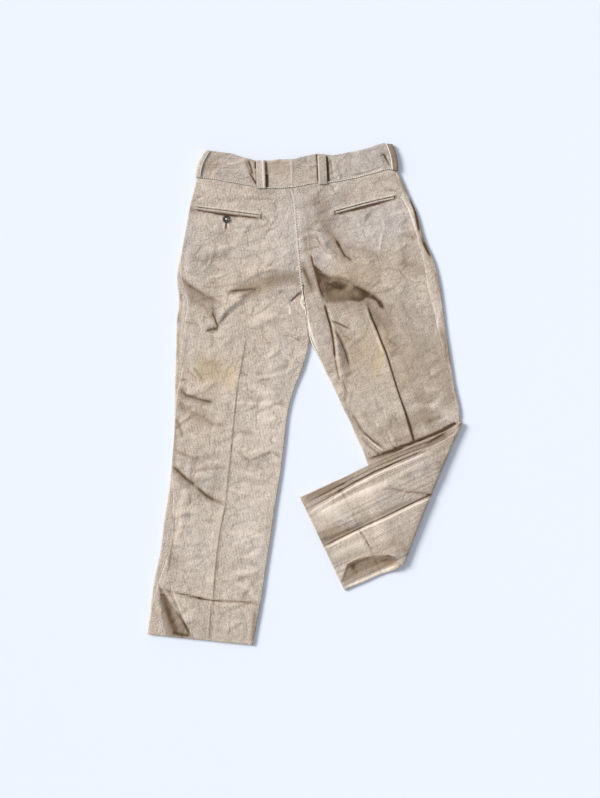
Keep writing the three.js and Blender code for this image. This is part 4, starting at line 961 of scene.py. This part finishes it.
def leg_piece(name, leg, up, steps, relief, material):
    """One leg panel with its ribs, its seams' valleys and its turned hem."""
    reach = [leg.outer[:, 0], leg.inner[:, 0]]
    first = math.floor((np.min(reach) - EDGE_REACH) / RIB) * RIB_STEPS
    last = math.ceil((np.max(reach) + EDGE_REACH) / RIB) * RIB_STEPS
    u = np.arange(first, last + 1) * RIB / RIB_STEPS
    low, high = leg.ends(u)
    share = np.concatenate([np.linspace(a, b, n, endpoint=False) for a, b, n in steps] + [[1.0]])
    if leg.folded:
        # Closer rows where the fold meets the two edges.
        for place in (fold_start, fold_end):
            at_u, at_v = leg.measured(place[None])[0]
            (top,), (bottom,) = (end for end in leg.ends(np.array([at_u])))
            close = at_v + np.arange(-4, 1.6 * leg.arc + 8, 1.0)
            share = np.append(share, np.clip((close - top) / (bottom - top), 0, 1))
        share = np.unique(share.round(6))
    v = mix(low[None], high[None], share[:, None])
    u = np.broadcast_to(u, v.shape)
    for _ in range(2):
        side, middle = leg.limits(v, up, np.clip(u, leg.waist[0, 0], leg.waist[-1, 0]))
        u = np.clip(u, np.minimum(side, middle), np.maximum(side, middle))
        low, high = leg.ends(u)
        v = np.clip(v, low, high)
    # Past the hem's edge the cloth turns in and goes back up inside the leg.
    turned = [0.5, 1.3, CLOTH + 0.4, 8, 30, HEM_DEPTH]
    excess = np.concatenate([np.zeros(len(share)), turned])[:, None] + np.zeros(v.shape[1])
    u = np.vstack([u, np.repeat(u[-1:], len(turned), 0)])
    v_end = np.repeat(v[-1:], len(turned), 0)
    back = np.maximum(np.array(turned) - CLOTH, 0)[:, None]
    v = np.vstack([v, v_end - back])
    inside = np.minimum(excess, CLOTH) * smooth(-1, 1.5, excess) * (excess > 0)
    points, normals, to_seam, to_middle, bend = leg.surface(u, v, up)
    laid, turned_normals = leg.laid(points, normals)
    x, y = laid[..., 0], laid[..., 1]
    height, dark = relief(x, y)
    # The front panels' strip beside the side seams gets its painted shade and highlight where it faces up.
    if up < 0:
        dark = dark + smooth(0.1, 0.5, turned_normals[..., 2]) * darkened(EDGE_LINES, EDGE_SHADES, x, y)
    # On the folded leg, beyond the fold, the layer that was under is the one on top.
    beyond = np.zeros(x.shape)
    if leg.folded:
        past = (points[..., :2] - fold_start) @ fold_out
        beyond = (past > 0).astype(float)
        flap_height, flap_dark = flap_relief(x, y)
        shown = beyond * (turned_normals[..., 2] > -0.2) if up > 0 else beyond
        if up > 0:
            height = height * (1 - beyond) * smooth(4, 44, left_of(FLAP_EDGE, x, y))
            dark = mix(dark * (1 - beyond), flap_dark, shown)
        else:
            height = mix(height, flap_height, beyond * smooth(0, 16, past))
            dark = mix(dark, flap_dark, beyond)
    v_low, v_high = leg.ends(u)
    fade = smooth(1, 20, np.abs(to_seam)) * smooth(3, 22, leg.inward * (u - leg.edges(v)[0]) + 2)
    closing = bend / (math.pi / 2)
    fade = fade * mix(1, smooth(0, 20, to_middle), closing) * smooth(2, 26, v - v_low)
    fade = fade * mix(0.45, 1, smooth(0, 30, v_high - v))
    rib = ribs(u) * smooth(0.4, 3.5, np.abs(to_seam)) * smooth(0.2, 3, to_middle)
    off_flat = (excess > 0).astype(float)
    seam_valley = -0.7 * bell(to_seam, 1.6) - 0.6 * bell(to_middle, 1.6)
    # The hem is double, so the cloth stands a little higher below its stitching.
    hem_step = 0.55 * smooth(-1.5, 1.5, HEM_DEPTH - (v_high - v)) * (1 - off_flat)
    stitched = -0.5 * bell(v_high - v - HEM_DEPTH, 1.4)
    on_top = 1 if up > 0 else beyond
    out = rib + seam_valley + (hem_step + stitched) * on_top
    if up < 0:
        out = mix(np.minimum(out, 0), out, np.maximum(beyond, smooth(2, 5, points[..., 2])))
        height = height * beyond
    places = laid + turned_normals * (out - inside)[..., None]
    places[..., 2] += height * fade * mix(1, 0.6, off_flat)
    places[..., 2] = np.maximum(places[..., 2], LOWEST)
    patches = patched(PATCHES, x, y)
    if leg.folded:
        patches = mix(patches, patched(FLAP_PATCHES, x, y), shown)
    # A line of painted shade along the hem's stitching goes into the dark mark.
    hem_line = bell(v_high - v - HEM_DEPTH, 1.6)
    marks = {
        "dark": np.clip(dark + patches[0] + 0.2 * hem_line * on_top, -0.5, 0.96),
        "yellow": np.clip(patches[1], 0, 1), "grey": np.clip(patches[2], 0, 1),
        "edge": bell(to_seam, 2.2) + bell(to_middle, 2.2),
        "nap": shown if leg.folded else 0.0,
    }
    piece = grid_piece(name, places, turned_normals, marks, material, (u, v))
    outline = np.vstack([leg.outer, leg.inner[::-1]])
    a, b = outline[:, 0], outline[:, 1]
    area = 0.5 * abs(np.dot(a, np.roll(b, 1)) - np.dot(b, np.roll(a, 1)))
    width, length = np.ptp(a), np.ptp(b)
    return piece, (width * MM, length * MM), area * MM * MM, places


# ------------------------------------------------------------------- materials
OBJECT_PLACE, FACTOR = 3, 2  # outputs of a Texture Coordinate and of an Attribute node
# The colours of painted shade: broad shade, and the darkest gaps, creases and shadows.
SHADE, DARKEST = (0.15, 0.08, 0.03), (0.03, 0.02, 0.013)


class Wire:
    """A shader value that takes part in sums."""

    def __init__(self, look, socket):
        self.look, self.socket = look, socket

    def sum(self, operation, *others):
        return self.look.maths(operation, self, *others)

    def __add__(self, other): return self.sum("ADD", other)
    def __mul__(self, other): return self.sum("MULTIPLY", other)
    def __sub__(self, other): return self.sum("SUBTRACT", other)
    def __rsub__(self, other): return self.look.maths("SUBTRACT", other, self)
    def __truediv__(self, other): return self.sum("DIVIDE", other)
    def __pow__(self, other): return self.sum("POWER", other)
    __radd__, __rmul__ = __add__, __mul__


class Look:
    """A material, with one method that adds a node to it."""

    def __init__(self, name):
        self.material = bpy.data.materials.new(name)
        self.material.use_nodes = True
        self.tree = self.material.node_tree
        self.shader = next(n for n in self.tree.nodes if n.type == "BSDF_PRINCIPLED")

    def node(self, kind, settings=None, *inputs, output=0, **named):
        made = self.tree.nodes.new(kind)
        for key, value in (settings or {}).items():
            setattr(made, key, value)
        for socket, value in [*enumerate(inputs), *named.items()]:
            self.feed(made.inputs[socket], value)
        return Wire(self, made.outputs[output])

    def maths(self, operation, *inputs):
        return self.node("ShaderNodeMath", {"operation": operation}, *inputs)

    def noise(self, place, scale, detail, roughness=0.5):
        return self.node("ShaderNodeTexNoise", None, Vector=place, Scale=scale, Detail=detail,
                         Roughness=roughness)

    def place(self):
        return self.node("ShaderNodeTexCoord", output=OBJECT_PLACE)

    def feed(self, socket, value):
        if isinstance(value, Wire):
            self.tree.links.new(value.socket, socket)
        else:
            socket.default_value = value

    def blend(self, share, first, second):
        """From one colour to another, as the share goes from 0 to 1."""
        made = self.tree.nodes.new("ShaderNodeMix")
        made.data_type = "RGBA"
        for socket, value in ((0, share), (6, first), (7, second)):  # a Mix node's colour sockets
            if not isinstance(value, (Wire, int, float)):
                value = (*value, 1)
            self.feed(made.inputs[socket], value)
        return Wire(self, made.outputs[2])

    def mark(self, name):
        return self.node("ShaderNodeAttribute", {"attribute_name": name}, output=FACTOR)

    def bump(self, height, strength, distance, **under):
        return self.node("ShaderNodeBump", None, Strength=strength, Distance=distance, Height=height,
                         **under)

    def finish(self, **sockets):
        for name, value in sockets.items():
            self.feed(self.shader.inputs[name.replace("_", " ")], value)
        return self.material


def shades_of(colour, low, high):
    """A darker and a lighter shade of a colour."""
    return [c * low for c in colour], [min(1, c * high) for c in colour]


def corduroy(name, colour, deep, yellow, grey):
    """Cotton corduroy: pile on the ribs, grooves between with painted shade in them, painted shade and
    highlight from the marks and fine creases, soft wear and dirt.
    """
    look = Look(name)
    uv = look.node("ShaderNodeUVMap", {"uv_map": "cloth"})

    def noise(scale, detail, roughness=0.6, place=uv):
        return look.noise(place, scale, detail, roughness)

    def stretched(across_mm, along_mm):
        scale = (1 / (across_mm * MM), 1 / (along_mm * MM), 1)
        return look.node("ShaderNodeMapping", None, Vector=uv, Scale=scale)

    def away(value, middle, reach):
        """0 where the value is at the middle, 1 once it is further than the reach."""
        return ((value - middle).sum("ABSOLUTE") / reach).sum("MINIMUM", 1.0)

    (worn_dark, light), nap = shades_of(colour, 0.70, 1.30), look.mark("nap")
    # The pale colour, used for painted highlights and the pale edges.
    pale = [min(1, c * 1.5) for c in colour]
    along = stretched(RIB, 9)
    across = look.node("ShaderNodeSeparateXYZ", None, along)
    rib = (across * math.pi).sum("SINE").sum("ABSOLUTE")
    tufts = noise(1.4, 4.0, 0.65, along)
    streaks = noise(1.0, 3.0, 0.6, stretched(5, 260))
    wide, cloud, blotch, grain = noise(9.0, 4.0), noise(38.0, 5.0), noise(120.0, 4.0), noise(380.0, 3.0)
    tone = (0.5 + (wide - 0.5) * 0.8 + (cloud - 0.5) * 1.1 + (blotch - 0.5) * 0.9 + (grain - 0.5) * 2.9
            + (streaks - 0.5) * (0.7 + nap * 1.7))
    base = look.blend(tone, worn_dark, light)
    base = look.blend(look.mark("grey") * 0.75, base, look.blend(tone, *shades_of(grey, 0.74, 1.26)))
    base = look.blend(look.mark("yellow") * (0.2 + cloud * 0.9), base, yellow)
    # Painted shade in the grooves between the ribs, stronger on the turned-over flap.
    groove = (1 - rib) ** 2.0
    base = look.blend(groove * (0.20 + nap * 0.5), base, deep)
    base = look.blend((tufts - 0.5) * 1.6, base, worn_dark)
    # Fine creases, with painted shade in their valleys and painted highlight beside them.
    wandering, small = noise(42.0, 2.0, 0.5), noise(88.0, 2.0, 0.5)
    patchy = (wide - 0.38) * 4.0
    crease = away(wandering, 0.5, 0.05) * 0.65 + away(small, 0.52, 0.07) * 0.35
    painted_highlight = (1 - away(wandering, 0.57, 0.03)) * 0.5 + (1 - away(small, 0.6, 0.05)) * 0.3
    base = look.blend((1 - crease) * patchy * 0.24, base, deep)
    base = look.blend(painted_highlight * patchy * 0.4, base, pale)
    base = look.blend(look.mark("edge") * 0.35, base, pale)
    # The dark mark paints shade, near black where it is strongest; below zero it paints highlight.
    dark = look.mark("dark")
    base = look.blend(dark * (0.55 + cloud * 0.4 + blotch * 0.4), base, SHADE)
    base = look.blend((dark - 0.7) * 2.4, base, DARKEST)
    base = look.blend((0.0 - dark) * 2.0, base, pale)
    fine = look.bump(rib * 0.6 + tufts * 0.4 + grain * 0.7, 0.5, 0.0005)
    normal = look.bump(cloud * 0.7 + blotch * 0.4 + crease * 0.45, 0.6, 0.0024, Normal=fine)
    return look.finish(
        Base_Color=base, Roughness=0.92, Normal=normal, Sheen_Weight=0.2, Sheen_Roughness=0.5,
        Sheen_Tint=(1.0, 0.96, 0.92, 1), Specular_IOR_Level=0.15)


# Each cord's colour, the colour of the painted shade in its grooves and fine creases, its yellowed and its
# greyed places.
cord = corduroy("corduroy", (0.60, 0.505, 0.424), (0.235, 0.17, 0.12), (0.60, 0.43, 0.22),
                (0.585, 0.515, 0.485))
band_cord = corduroy("waistband corduroy", (0.55, 0.462, 0.395), (0.22, 0.16, 0.115),
                     (0.50, 0.37, 0.24), (0.565, 0.50, 0.46))
# A lighter copy of the cord for pieces that face the light: painted highlight.
painted_highlight_cord = corduroy("corduroy with painted highlight", (0.70, 0.61, 0.52), (0.34, 0.27, 0.20), (0.6, 0.45, 0.3),
                      (0.66, 0.59, 0.52))


def plain(name, colour, roughness):
    """One colour with fine specks."""
    look = Look(name)
    speck = look.noise(look.place(), 900.0, 3.0)
    return look.finish(Base_Color=look.blend(speck, *shades_of(colour, 0.8, 1.2)), Roughness=roughness)


thread = plain("thread", (0.86, 0.79, 0.70), 0.7)
horn = plain("button horn", (0.055, 0.038, 0.028), 0.32)

# ------------------------------------------------------------------ leg panels
sheets, surfaces = {}, {}


def add_sheet(name, piece, flat, rests_on=(), held="folded", area=None):
    """A cloth piece that takes the place of the solid with its name."""
    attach(piece, "root")
    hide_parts(name)
    sheets[name] = (piece, flat, held, [other + "_cloth" for other in rests_on], area)


# The rows of points lie closest where the cloth is creased and seen.
for name, leg, up, steps, relief, held, rests_on in [
    ("front_left", left_leg, -1, [(0, 1, 90)], under_relief, "laid", []),
    ("back_left", left_leg, 1, [(0, 0.28, 136), (0.28, 1, 226)], top_relief, "laid", ["front_left"]),
    ("front_right", right_front, -1, [(0, 0.5, 40), (0.5, 0.62, 30), (0.62, 1, 130)], under_relief,
     "folded", []),
    ("back_right", right_back, 1, [(0, 0.28, 116), (0.28, 0.62, 98), (0.62, 1, 30)], top_relief,
     "folded", ["front_right"]),
]:
    piece, flat, area, places = leg_piece(name + "_cloth", leg, up, steps, relief, cord)
    add_sheet(name, piece, flat, rests_on, held, area)
    surfaces[name] = places.reshape(-1, 3)


# ------------------------------------------------------------------- waistband
def band_length(band):
    """From the side to the middle, along the lower edge."""
    return math.hypot(band["low"][0] - BAND_MIDDLE_LOW[0], band["low"][1] - BAND_MIDDLE_LOW[1])


def band_height(band):
    return math.hypot(band["high"][0] - band["low"][0], band["high"][1] - band["low"][1])


def band_place(band, s_from_side, share):
    """A place on the waistband from its distance to the side end."""
    low, high = np.array(band["low"], float), np.array(band["high"], float)
    side = band["side"]
    outer = low + (high - low) * share[..., None]
    outer[..., 0] += band["bulge"] * np.sin(math.pi * share)
    middle_low = np.array([middle_x(BAND_MIDDLE_LOW[1]) + side * MIDDLE_GAP, BAND_MIDDLE_LOW[1]])
    middle_high = np.array(BAND_MIDDLE_HIGH) + (side * MIDDLE_GAP, 0)
    middle = middle_low + (middle_high - middle_low) * share[..., None]
    outer[..., 1] += 0.5 * (1 - share)
    middle[..., 1] += 0.5 * (1 - share)
    width = np.linalg.norm(middle - outer, axis=-1)
    run = (middle - outer) / width[..., None]
    part = np.clip(s_from_side / width, 0, 1)
    flat = outer + run * s_from_side[..., None]
    flat[..., 1] += mix(eased(band["low_bow"], part), eased(band["high_bow"], part), share)
    return flat, run


def band_surface(band, distance, share, off=0.0):
    """Round the band: distance is positive on the back and negative in front."""
    radius = (BAND_TOP - WAIST_FLOOR) / 2
    quarter = radius * math.pi / 2
    sign = np.where(distance < 0, -1, 1)
    angle = np.minimum(np.abs(distance), quarter) / radius
    s = radius * (1 - np.cos(angle)) + np.maximum(0, np.abs(distance) - quarter)
    z = WAIST_FLOOR + radius + sign * radius * np.sin(angle)
    flat, run = band_place(band, s, share)
    normals = raised(run * (-np.cos(angle))[..., None], sign * np.sin(angle))
    return raised(flat, z) + normals * np.asarray(off)[..., None], normals


def band_relief(x, y):
    """The waistband's creases, as in top_relief."""
    small, small_painted_shade = rumples_and_painted_shade(x, y, 6)
    return strokes(BAND_FOLDS, x, y) + 0.5 * small, darkened(BAND_LINES, [], x, y) + small_painted_shade


for name, band in BANDS.items():
    height, full = band_height(band), band_length(band)
    rib_count = round(height / RIB)
    share = np.arange(rib_count * RIB_STEPS + 1) / (rib_count * RIB_STEPS)
    # Past its long edges the band's cloth turns in, then goes back inside.
    edge = [0.4, 1.2, 2.4, 8.0]
    share_rows = np.concatenate([np.zeros(4), share, np.ones(4)])
    inside = np.concatenate([edge[::-1], np.zeros(len(share)), edge])
    reach = full + 0.8
    steps = np.concatenate([np.linspace(-reach, -8, 40), np.linspace(-7, 7, 15),
                            np.linspace(8, reach, 190)])
    distance, share_grid = np.meshgrid(steps, share_rows)
    into = np.broadcast_to(inside[:, None], distance.shape)
    back_in = np.maximum(into - edge[2], 0) / height
    turned_in = share_grid + np.where(share_grid > 0.5, -back_in, back_in)
    moved, normals = band_surface(band, distance, np.clip(turned_in, 0, 1))
    x, y = moved[..., 0], moved[..., 1]
    relief, dark = band_relief(x, y)
    upper = smooth(4, 14, distance) * (into == 0)
    middle_gap = smooth(0, 4, reach - np.abs(distance))
    out = ribs(share_grid * rib_count * RIB) * (into == 0) - np.minimum(into, 2.2)
    out = np.where(distance < 0, np.minimum(out, 0), out) - 0.7 * (1 - middle_gap)
    rounded = -0.7 * (1 - smooth(0, 0.06, share_grid)) - 0.7 * (1 - smooth(0, 0.06, 1 - share_grid))
    places = moved + normals * (out + rounded * (into == 0))[..., None]
    places[..., 2] += relief * upper
    # The band's dark mark is painted shade in its creases and beside the loops, or painted highlight below
    # zero.
    marks = {
        "dark": np.clip(dark * upper, -0.4, 0.95),
        "yellow": np.clip(0.1 + 0.3 * rumple(x, y, 23, 90), 0, 1) * (x < 60),
        "grey": smooth(-40, 160, x) * 0.8 + 0.1,
        "edge": 1 - middle_gap,
    }
    piece = grid_piece("waistband_" + name + "_cloth", places, normals, marks, band_cord,
                       (share_grid * rib_count * RIB, distance))
    add_sheet("waistband_" + name, piece, (2 * full * MM, height * MM), ["back_" + name])

# ---------------------------------------------------- loops, welts and button
def cloth_top(name, x, y):
    """The height of a panel's cloth at a place: the highest of its nearest points."""
    near = surfaces[name]
    far = (near[:, 0] - x) ** 2 + (near[:, 1] - y) ** 2 + np.where(near[:, 2] < 3, 1e6, 0)
    return near[np.argpartition(far, 10)[:10], 2].max()


def tape(name, path, width, thick, rib_count, material, up=1, round_top=0.0, pale=None, shade=0.0):
    """A strip of cloth along a path, with its long edges and ends turned under.

    It gets a painted highlight along one line, at a share of its half width, and the painted shade given.
    """
    path = np.asarray(path, float)
    run = np.gradient(path, axis=0)
    run /= np.linalg.norm(run, axis=1)[:, None]
    across = np.cross(run, (0, 0, up))
    across /= np.linalg.norm(across, axis=1)[:, None]
    normal = np.cross(across, run)
    half = width / 2
    flat = np.linspace(-half + 0.5, half - 0.5, max(rib_count * RIB_STEPS, 4) + 1)
    top = RIB_DEPTH * 0.8 * (np.abs(np.sin(math.pi * rib_count * (flat / (width - 1) + 0.5))) - 0.8)
    top = top - round_top * (flat / half) ** 2
    side = [(half - 2.4, -thick), (half - 0.5, -thick), (half, -thick * 0.55),
            (half - 0.15, -0.4 - round_top)]
    profile = np.array([(-a, b) for a, b in side] + list(zip(flat, top)) + side[::-1])
    # Two more rows at each end: where along the path, how far in and how deep.
    last = len(path) - 1
    ends = [(0, 0.6, -thick), (0, 0.0, -thick * 0.5)]
    rows = ends + [(n, 0, 0) for n in range(len(path))] + [(last, -a, b) for _, a, b in ends[::-1]]
    place, inward, drop = (np.array(part) for part in zip(*rows))
    centre = path[place] + run[place] * inward[:, None]
    sideways, out = across[place], normal[place]
    depth = np.where(drop[:, None] < 0, np.minimum(profile[:, 1], drop[:, None]), profile[:, 1])
    points = centre[:, None] + sideways[:, None] * profile[None, :, :1] + out[:, None] * depth[..., None]
    length = np.concatenate([[0], np.cumsum(np.linalg.norm(np.diff(centre, axis=0), axis=1))])
    u = (profile[:, 0] + half) / width * rib_count * RIB
    # A painted highlight line and painted shade over the face, with a faint painted highlight on the turned
    # edges.
    painted_highlight = 0 if pale is None else -0.5 * bell(profile[:, 0] / half - pale, 0.16)
    marks = {"dark": np.where(np.abs(profile[:, 0]) > half - 0.4, -0.1, painted_highlight + shade), "grey": 0.3}
    piece = grid_piece(name, points, np.broadcast_to(out[:, None], points.shape), marks, material,
                       (u, length[:, None]))
    return piece, length[-1]


def add_tape(name, path, width, thick, rib_count, material, rests_on, **more):
    piece, length = tape(name + "_cloth", path, width, thick, rib_count, material, **more)
    add_sheet(name, piece, ((width + TURNED_UNDER) * MM, length * MM), rests_on)


def between(low, high, t):
    return np.asarray(low, float) * (1 - t)[:, None] + np.asarray(high, float) * t[:, None]


TURNED_UNDER = 8.0  # the cloth under both long edges of a strip
LOOP_WIDTH, LOOP_THICK, LOOP_RIBS = 18.0, 1.9, 5
FRONT_LOOP_HALF, SIDE_LOOP_CUT = 25.4, 42.0
LOOP_OFF, LOOP_ARCH = 2.55, 1.5  # how far a side loop stands off the band, and its arch
LOOP_SHARES = 0.012, 0.99  # where a side loop starts and ends up the band
share = np.linspace(0, 1, 34)
# Each back loop gets a painted highlight line, and the right one painted shade over its face.
for name, foot, head, pale, shade in [("left", (-89.2, 432.5), (-91.6, 491.6), 0.5, 0.0),
                                      ("right", (40.4, 441.0), (37.6, 502.4), -0.8, 0.22)]:
    path = np.column_stack([between(foot, head, share), 11.0 + 2.7 * np.sin(math.pi * share) ** 0.6])
    add_tape("loop_back_" + name, path, LOOP_WIDTH, LOOP_THICK, LOOP_RIBS, cord, ["waistband_" + name],
             pale=pale, shade=shade)
for name, x, y in [("left", -118, 466), ("right", 72, 471)]:
    ends = (x, y - FRONT_LOOP_HALF), (x, y + FRONT_LOOP_HALF)
    path = np.column_stack([between(*ends, share), 0.35 + 0 * share])
    add_tape("loop_front_" + name, path, LOOP_WIDTH, LOOP_THICK, LOOP_RIBS, cord,
             ["waistband_" + name], up=-1)

# The side loops go round the waistband's side, from in front to the back.
for name, first, last, shaded in [("left", -10.5, 9.5, 0.2), ("right", -6.5, 13.5, 0.72)]:
    band = BANDS[name]
    run = np.linspace(first + 0.6, last - 0.6, LOOP_RIBS * RIB_STEPS + 1)
    low, high = LOOP_SHARES
    shares = np.concatenate([[0.02, low], np.linspace(low, high, 26), [high, 0.98]])
    drop = np.concatenate([[-LOOP_THICK, -1.0], np.zeros(26), [-1.0, -LOOP_THICK]])
    run_all = np.concatenate([[first + 2.2, first + 0.4, first, first + 0.2], run,
                              [last - 0.2, last, last - 0.4, last - 2.2]])
    edge = np.array([-1.8, -1.8, -1.0, -0.4] + [0] * len(run) + [-0.4, -1.0, -1.8, -1.8])
    distance, share_grid = np.meshgrid(run_all, shares)
    lift = np.sin(math.pi * share_grid) ** 0.6
    part = (distance - first) / (last - first)
    rib_wave = RIB_DEPTH * 0.8 * (np.abs(np.sin(math.pi * LOOP_RIBS * part)) - 0.8)
    off = (LOOP_OFF + LOOP_ARCH * lift * smooth(-3, 4, distance)
           + np.minimum(edge[None], drop[:, None]) + rib_wave * (edge == 0))
    points, normals = band_surface(band, distance, share_grid, off)
    # Painted shade over the loop's face and a painted highlight at its back end.
    marks = {"dark": np.where(distance > last - 1.5, -0.7, shaded), "grey": 0.3}
    piece = grid_piece("loop_side_" + name + "_cloth", points, normals, marks, painted_highlight_cord,
                       (part * LOOP_RIBS * RIB, share_grid * band_height(band)))
    add_sheet("loop_side_" + name, piece, (SIDE_LOOP_CUT * MM, band_height(band) * MM),
              ["waistband_" + name])

# The pocket mouths, each between its two welts.
MOUTHS = {
    "left": [(-229, 394.6), (-195, 390.4), (-160, 386.2), (-125, 381.6), (-90.5, 377.2)],
    "right": [(66, 384.6), (97, 393.6), (128, 402), (160, 410), (189.5, 416)],
}
WELT_WIDTH, WELT_PITCH, WELT_THICK = 3.7, 5.6, 1.5
for name, mouth in MOUTHS.items():
    line = spline(np.array(mouth, float), 12)
    run = np.gradient(line, axis=0)
    run /= np.hypot(*run.T)[:, None]
    for place, side in (("upper", 1), ("lower", -1)):
        centre = line + np.column_stack([-run[:, 1], run[:, 0]]) * side * WELT_PITCH / 2
        z = np.array([cloth_top("back_" + name, x, y) for x, y in centre])
        z = np.convolve(np.pad(z, 4, "edge"), np.ones(9) / 9, "valid") + (1.5 if side > 0 else 1.15)
        # The upper welt is in the lighter copy of the cord, as painted highlight.
        add_tape("pocket_" + name + "_welt_" + place, np.column_stack([centre, z]), WELT_WIDTH,
                 WELT_THICK, 1, painted_highlight_cord if side > 0 else cord, ["back_" + name], round_top=0.5)

BUTTON_AT, BUTTON_RADIUS, BUTTON_LOW = (-162.8, 368.6), 7.75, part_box("pocket_button")[0][2] / MM
HOLE_OFF = 2.1  # each hole's distance from the button's middle, both ways
HOLES = [(a * HOLE_OFF, b * HOLE_OFF) for a in (-1, 1) for b in (-1, 1)]


def button_height(r, x, y):
    """The button's face: a round rim, a dished middle and four holes."""
    rim = 2.3 + 0.7 * bell(r - 6.4, 1.0) - 1.2 * smooth(6.9, BUTTON_RADIUS, r)
    hole = sum(1 - smooth(0.7, 1.1, np.hypot(x - a, y - b)) for a, b in HOLES)
    return rim - 1.9 * np.clip(hole, 0, 1)


# Rings from the middle out over the face, then back in under it.
radii = np.concatenate([np.linspace(0.01, 4.4, 26), np.linspace(4.6, BUTTON_RADIUS, 16),
                        [BUTTON_RADIUS, 7.4, 0.01]])
turn = np.linspace(0, math.tau, 97)
r_grid, turn_grid = np.meshgrid(radii, turn, indexing="ij")
bx, by = r_grid * np.cos(turn_grid), r_grid * np.sin(turn_grid)
face = button_height(r_grid, bx, by)
face[-3:] = np.array([0.6, 0.1, 0.1])[:, None]
points = np.stack([bx + BUTTON_AT[0], by + BUTTON_AT[1], face + BUTTON_LOW], axis=-1)
up_normals = np.zeros(points.shape)
up_normals[..., 2] = np.where(np.arange(len(radii)) < len(radii) - 3, 1, -1)[:, None]
button = grid_piece("pocket_button_horn", points, up_normals, {}, horn, (bx, by))
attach(button, "root")
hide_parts("pocket_button")


# ------------------------------------------------------------------- stitching
def stitching(name, stitches):
    """Stitches as small rounded bars: (start, end, width) each, in mm."""
    bm = bmesh.new()
    for start, end, width in stitches:
        start, end = Vector(start), Vector(end)
        made = bmesh.ops.create_uvsphere(bm, u_segments=8, v_segments=4, radius=0.5)
        turn = (end - start).to_track_quat("X", "Z").to_matrix()
        size = Vector(((end - start).length + width * 0.4, width, width * 0.8))
        for vertex in made["verts"]:
            place = (start + end) / 2 + turn @ Vector([a * b for a, b in zip(vertex.co, size)])
            vertex.co = Vector((place.x + SHIFT[0], place.y + SHIFT[1], place.z)) * MM
    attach(linked(name, mesh_of(name, bm), thread), "root")


def stepped(points, step):
    """Places along a line at even steps."""
    points = np.asarray(points, float)
    run = np.concatenate([[0], np.cumsum(np.hypot(*np.diff(points, axis=0).T))])
    at = np.arange(step / 2, run[-1], step)
    return np.column_stack([np.interp(at, run, points[:, n]) for n in (0, 1)])


SEAT_STEP, CROTCH_STEP, BAND_STEP = 2.8, 2.6, 4.4
rng = np.random.default_rng(3)
seat_line = on_grid([(291, 188), (294, 196), (295, 210), (296, 225), (297, 236), (298, 250), (299.4, 262),
                     (300.4, 276), (302, 287)])
crotch_line = on_grid([(302, 286), (303, 293), (304.4, 301), (305.6, 309), (307, 318), (309.2, 331),
                       (311, 338.6), (313.8, 345), (319, 354)])
seat_stitches = []
for n, (x, y) in enumerate(stepped(seat_line, SEAT_STEP)):
    lean = 2.4 if n % 2 else -2.4
    x, z = x + 0.8, cloth_top("back_left", x, y) + 0.9
    ends = (x - lean, y + 1.1, z), (x + lean, y - 1.1, z)
    seat_stitches.append((*ends, 1.7 * rng.uniform(0.8, 1.15)))
for x, y in stepped(crotch_line, CROTCH_STEP):
    z = max(cloth_top("back_right", x, y), cloth_top("back_left", x, y)) + 0.7
    ends = (x - 0.4, y + 1.7, z), (x + 0.4, y - 1.7, z)
    seat_stitches.append((*ends, 2.7 * rng.uniform(0.75, 1.15)))
stitching("seat_stitching", seat_stitches)

band_stitches = []
for band in BANDS.values():
    at = np.arange(6, band_length(band) - 1, BAND_STEP)
    for start, end in zip(at, at + 2.7):
        ends, _ = band_surface(band, np.array([start, end]) + 4, np.full(2, 0.035), np.full(2, 0.8))
        band_stitches.append((*ends, 1.9))
stitching("band_stitching", band_stitches)

button_thread = []
for (a, b), (c, d) in [(HOLES[0], HOLES[3]), (HOLES[1], HOLES[2])]:
    for shift in (-0.5, 0.5):
        x, y, z = BUTTON_AT[0] + shift, BUTTON_AT[1], BUTTON_LOW + 2.8
        button_thread.append(((x + a, y + b, z), (x + c, y + d, z), 0.9))
stitching("button_thread", button_thread)

# ------------------------------------------------- camera, light and the table
scene = bpy.context.scene
LENS, VIEW_HEIGHT, CLOTH_TOP = 62, 1.676, 0.012  # mm, then metres seen at the cloth's top
camera = bpy.data.objects.new("camera", bpy.data.cameras.new("camera"))
scene.collection.objects.link(camera)
scene.camera = camera
camera.data.lens, camera.data.clip_end = LENS, 50
camera.location = (-0.0084, -0.0116, CLOTH_TOP + VIEW_HEIGHT * LENS / camera.data.sensor_width)


def lamp(kind, name, place, aim, settings):
    """A lamp that shines along a direction."""
    data = bpy.data.lights.new(name, kind)
    for key, value in settings.items():
        setattr(data, key, value)
    made = bpy.data.objects.new(name, data)
    made.location = place
    made.rotation_euler = Vector(aim).to_track_quat("-Z", "Y").to_euler()
    scene.collection.objects.link(made)


lamp("SUN", "window", (0, 0, 0), (1.0, -0.42, -0.78),
     {"energy": 3.3, "angle": math.radians(24), "color": (1.0, 0.985, 0.955)})
lamp("AREA", "fill", (2.2, -0.4, 3.6), (-2.2, 0.4, -3.6),
     {"shape": "DISK", "size": 2.5, "energy": 6, "color": (0.93, 0.96, 1.0)})
world = bpy.data.worlds.new("studio")
scene.world = world
world.use_nodes = True
sky = world.node_tree.nodes["Background"].inputs
sky["Color"].default_value, sky["Strength"].default_value = (0.86, 0.93, 1.0, 1), 0.45
scene.view_settings.view_transform = "Standard"

bm = bmesh.new()
bmesh.ops.create_grid(bm, x_segments=2, y_segments=2, size=6)
paper = Look("paper")
grain = paper.noise(paper.place(), 3.0, 2.0)
white = paper.finish(Base_Color=paper.blend(grain * 0.3, (0.835, 0.875, 0.97), (0.855, 0.89, 0.97)),
                     Roughness=0.8)
floor = linked("floor", mesh_of("floor", bm), white)
floor.location.z = -0.0004
floor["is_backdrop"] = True

for piece, flat, held, rests_on, area in sheets.values():
    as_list(rests_on)

low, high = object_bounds()
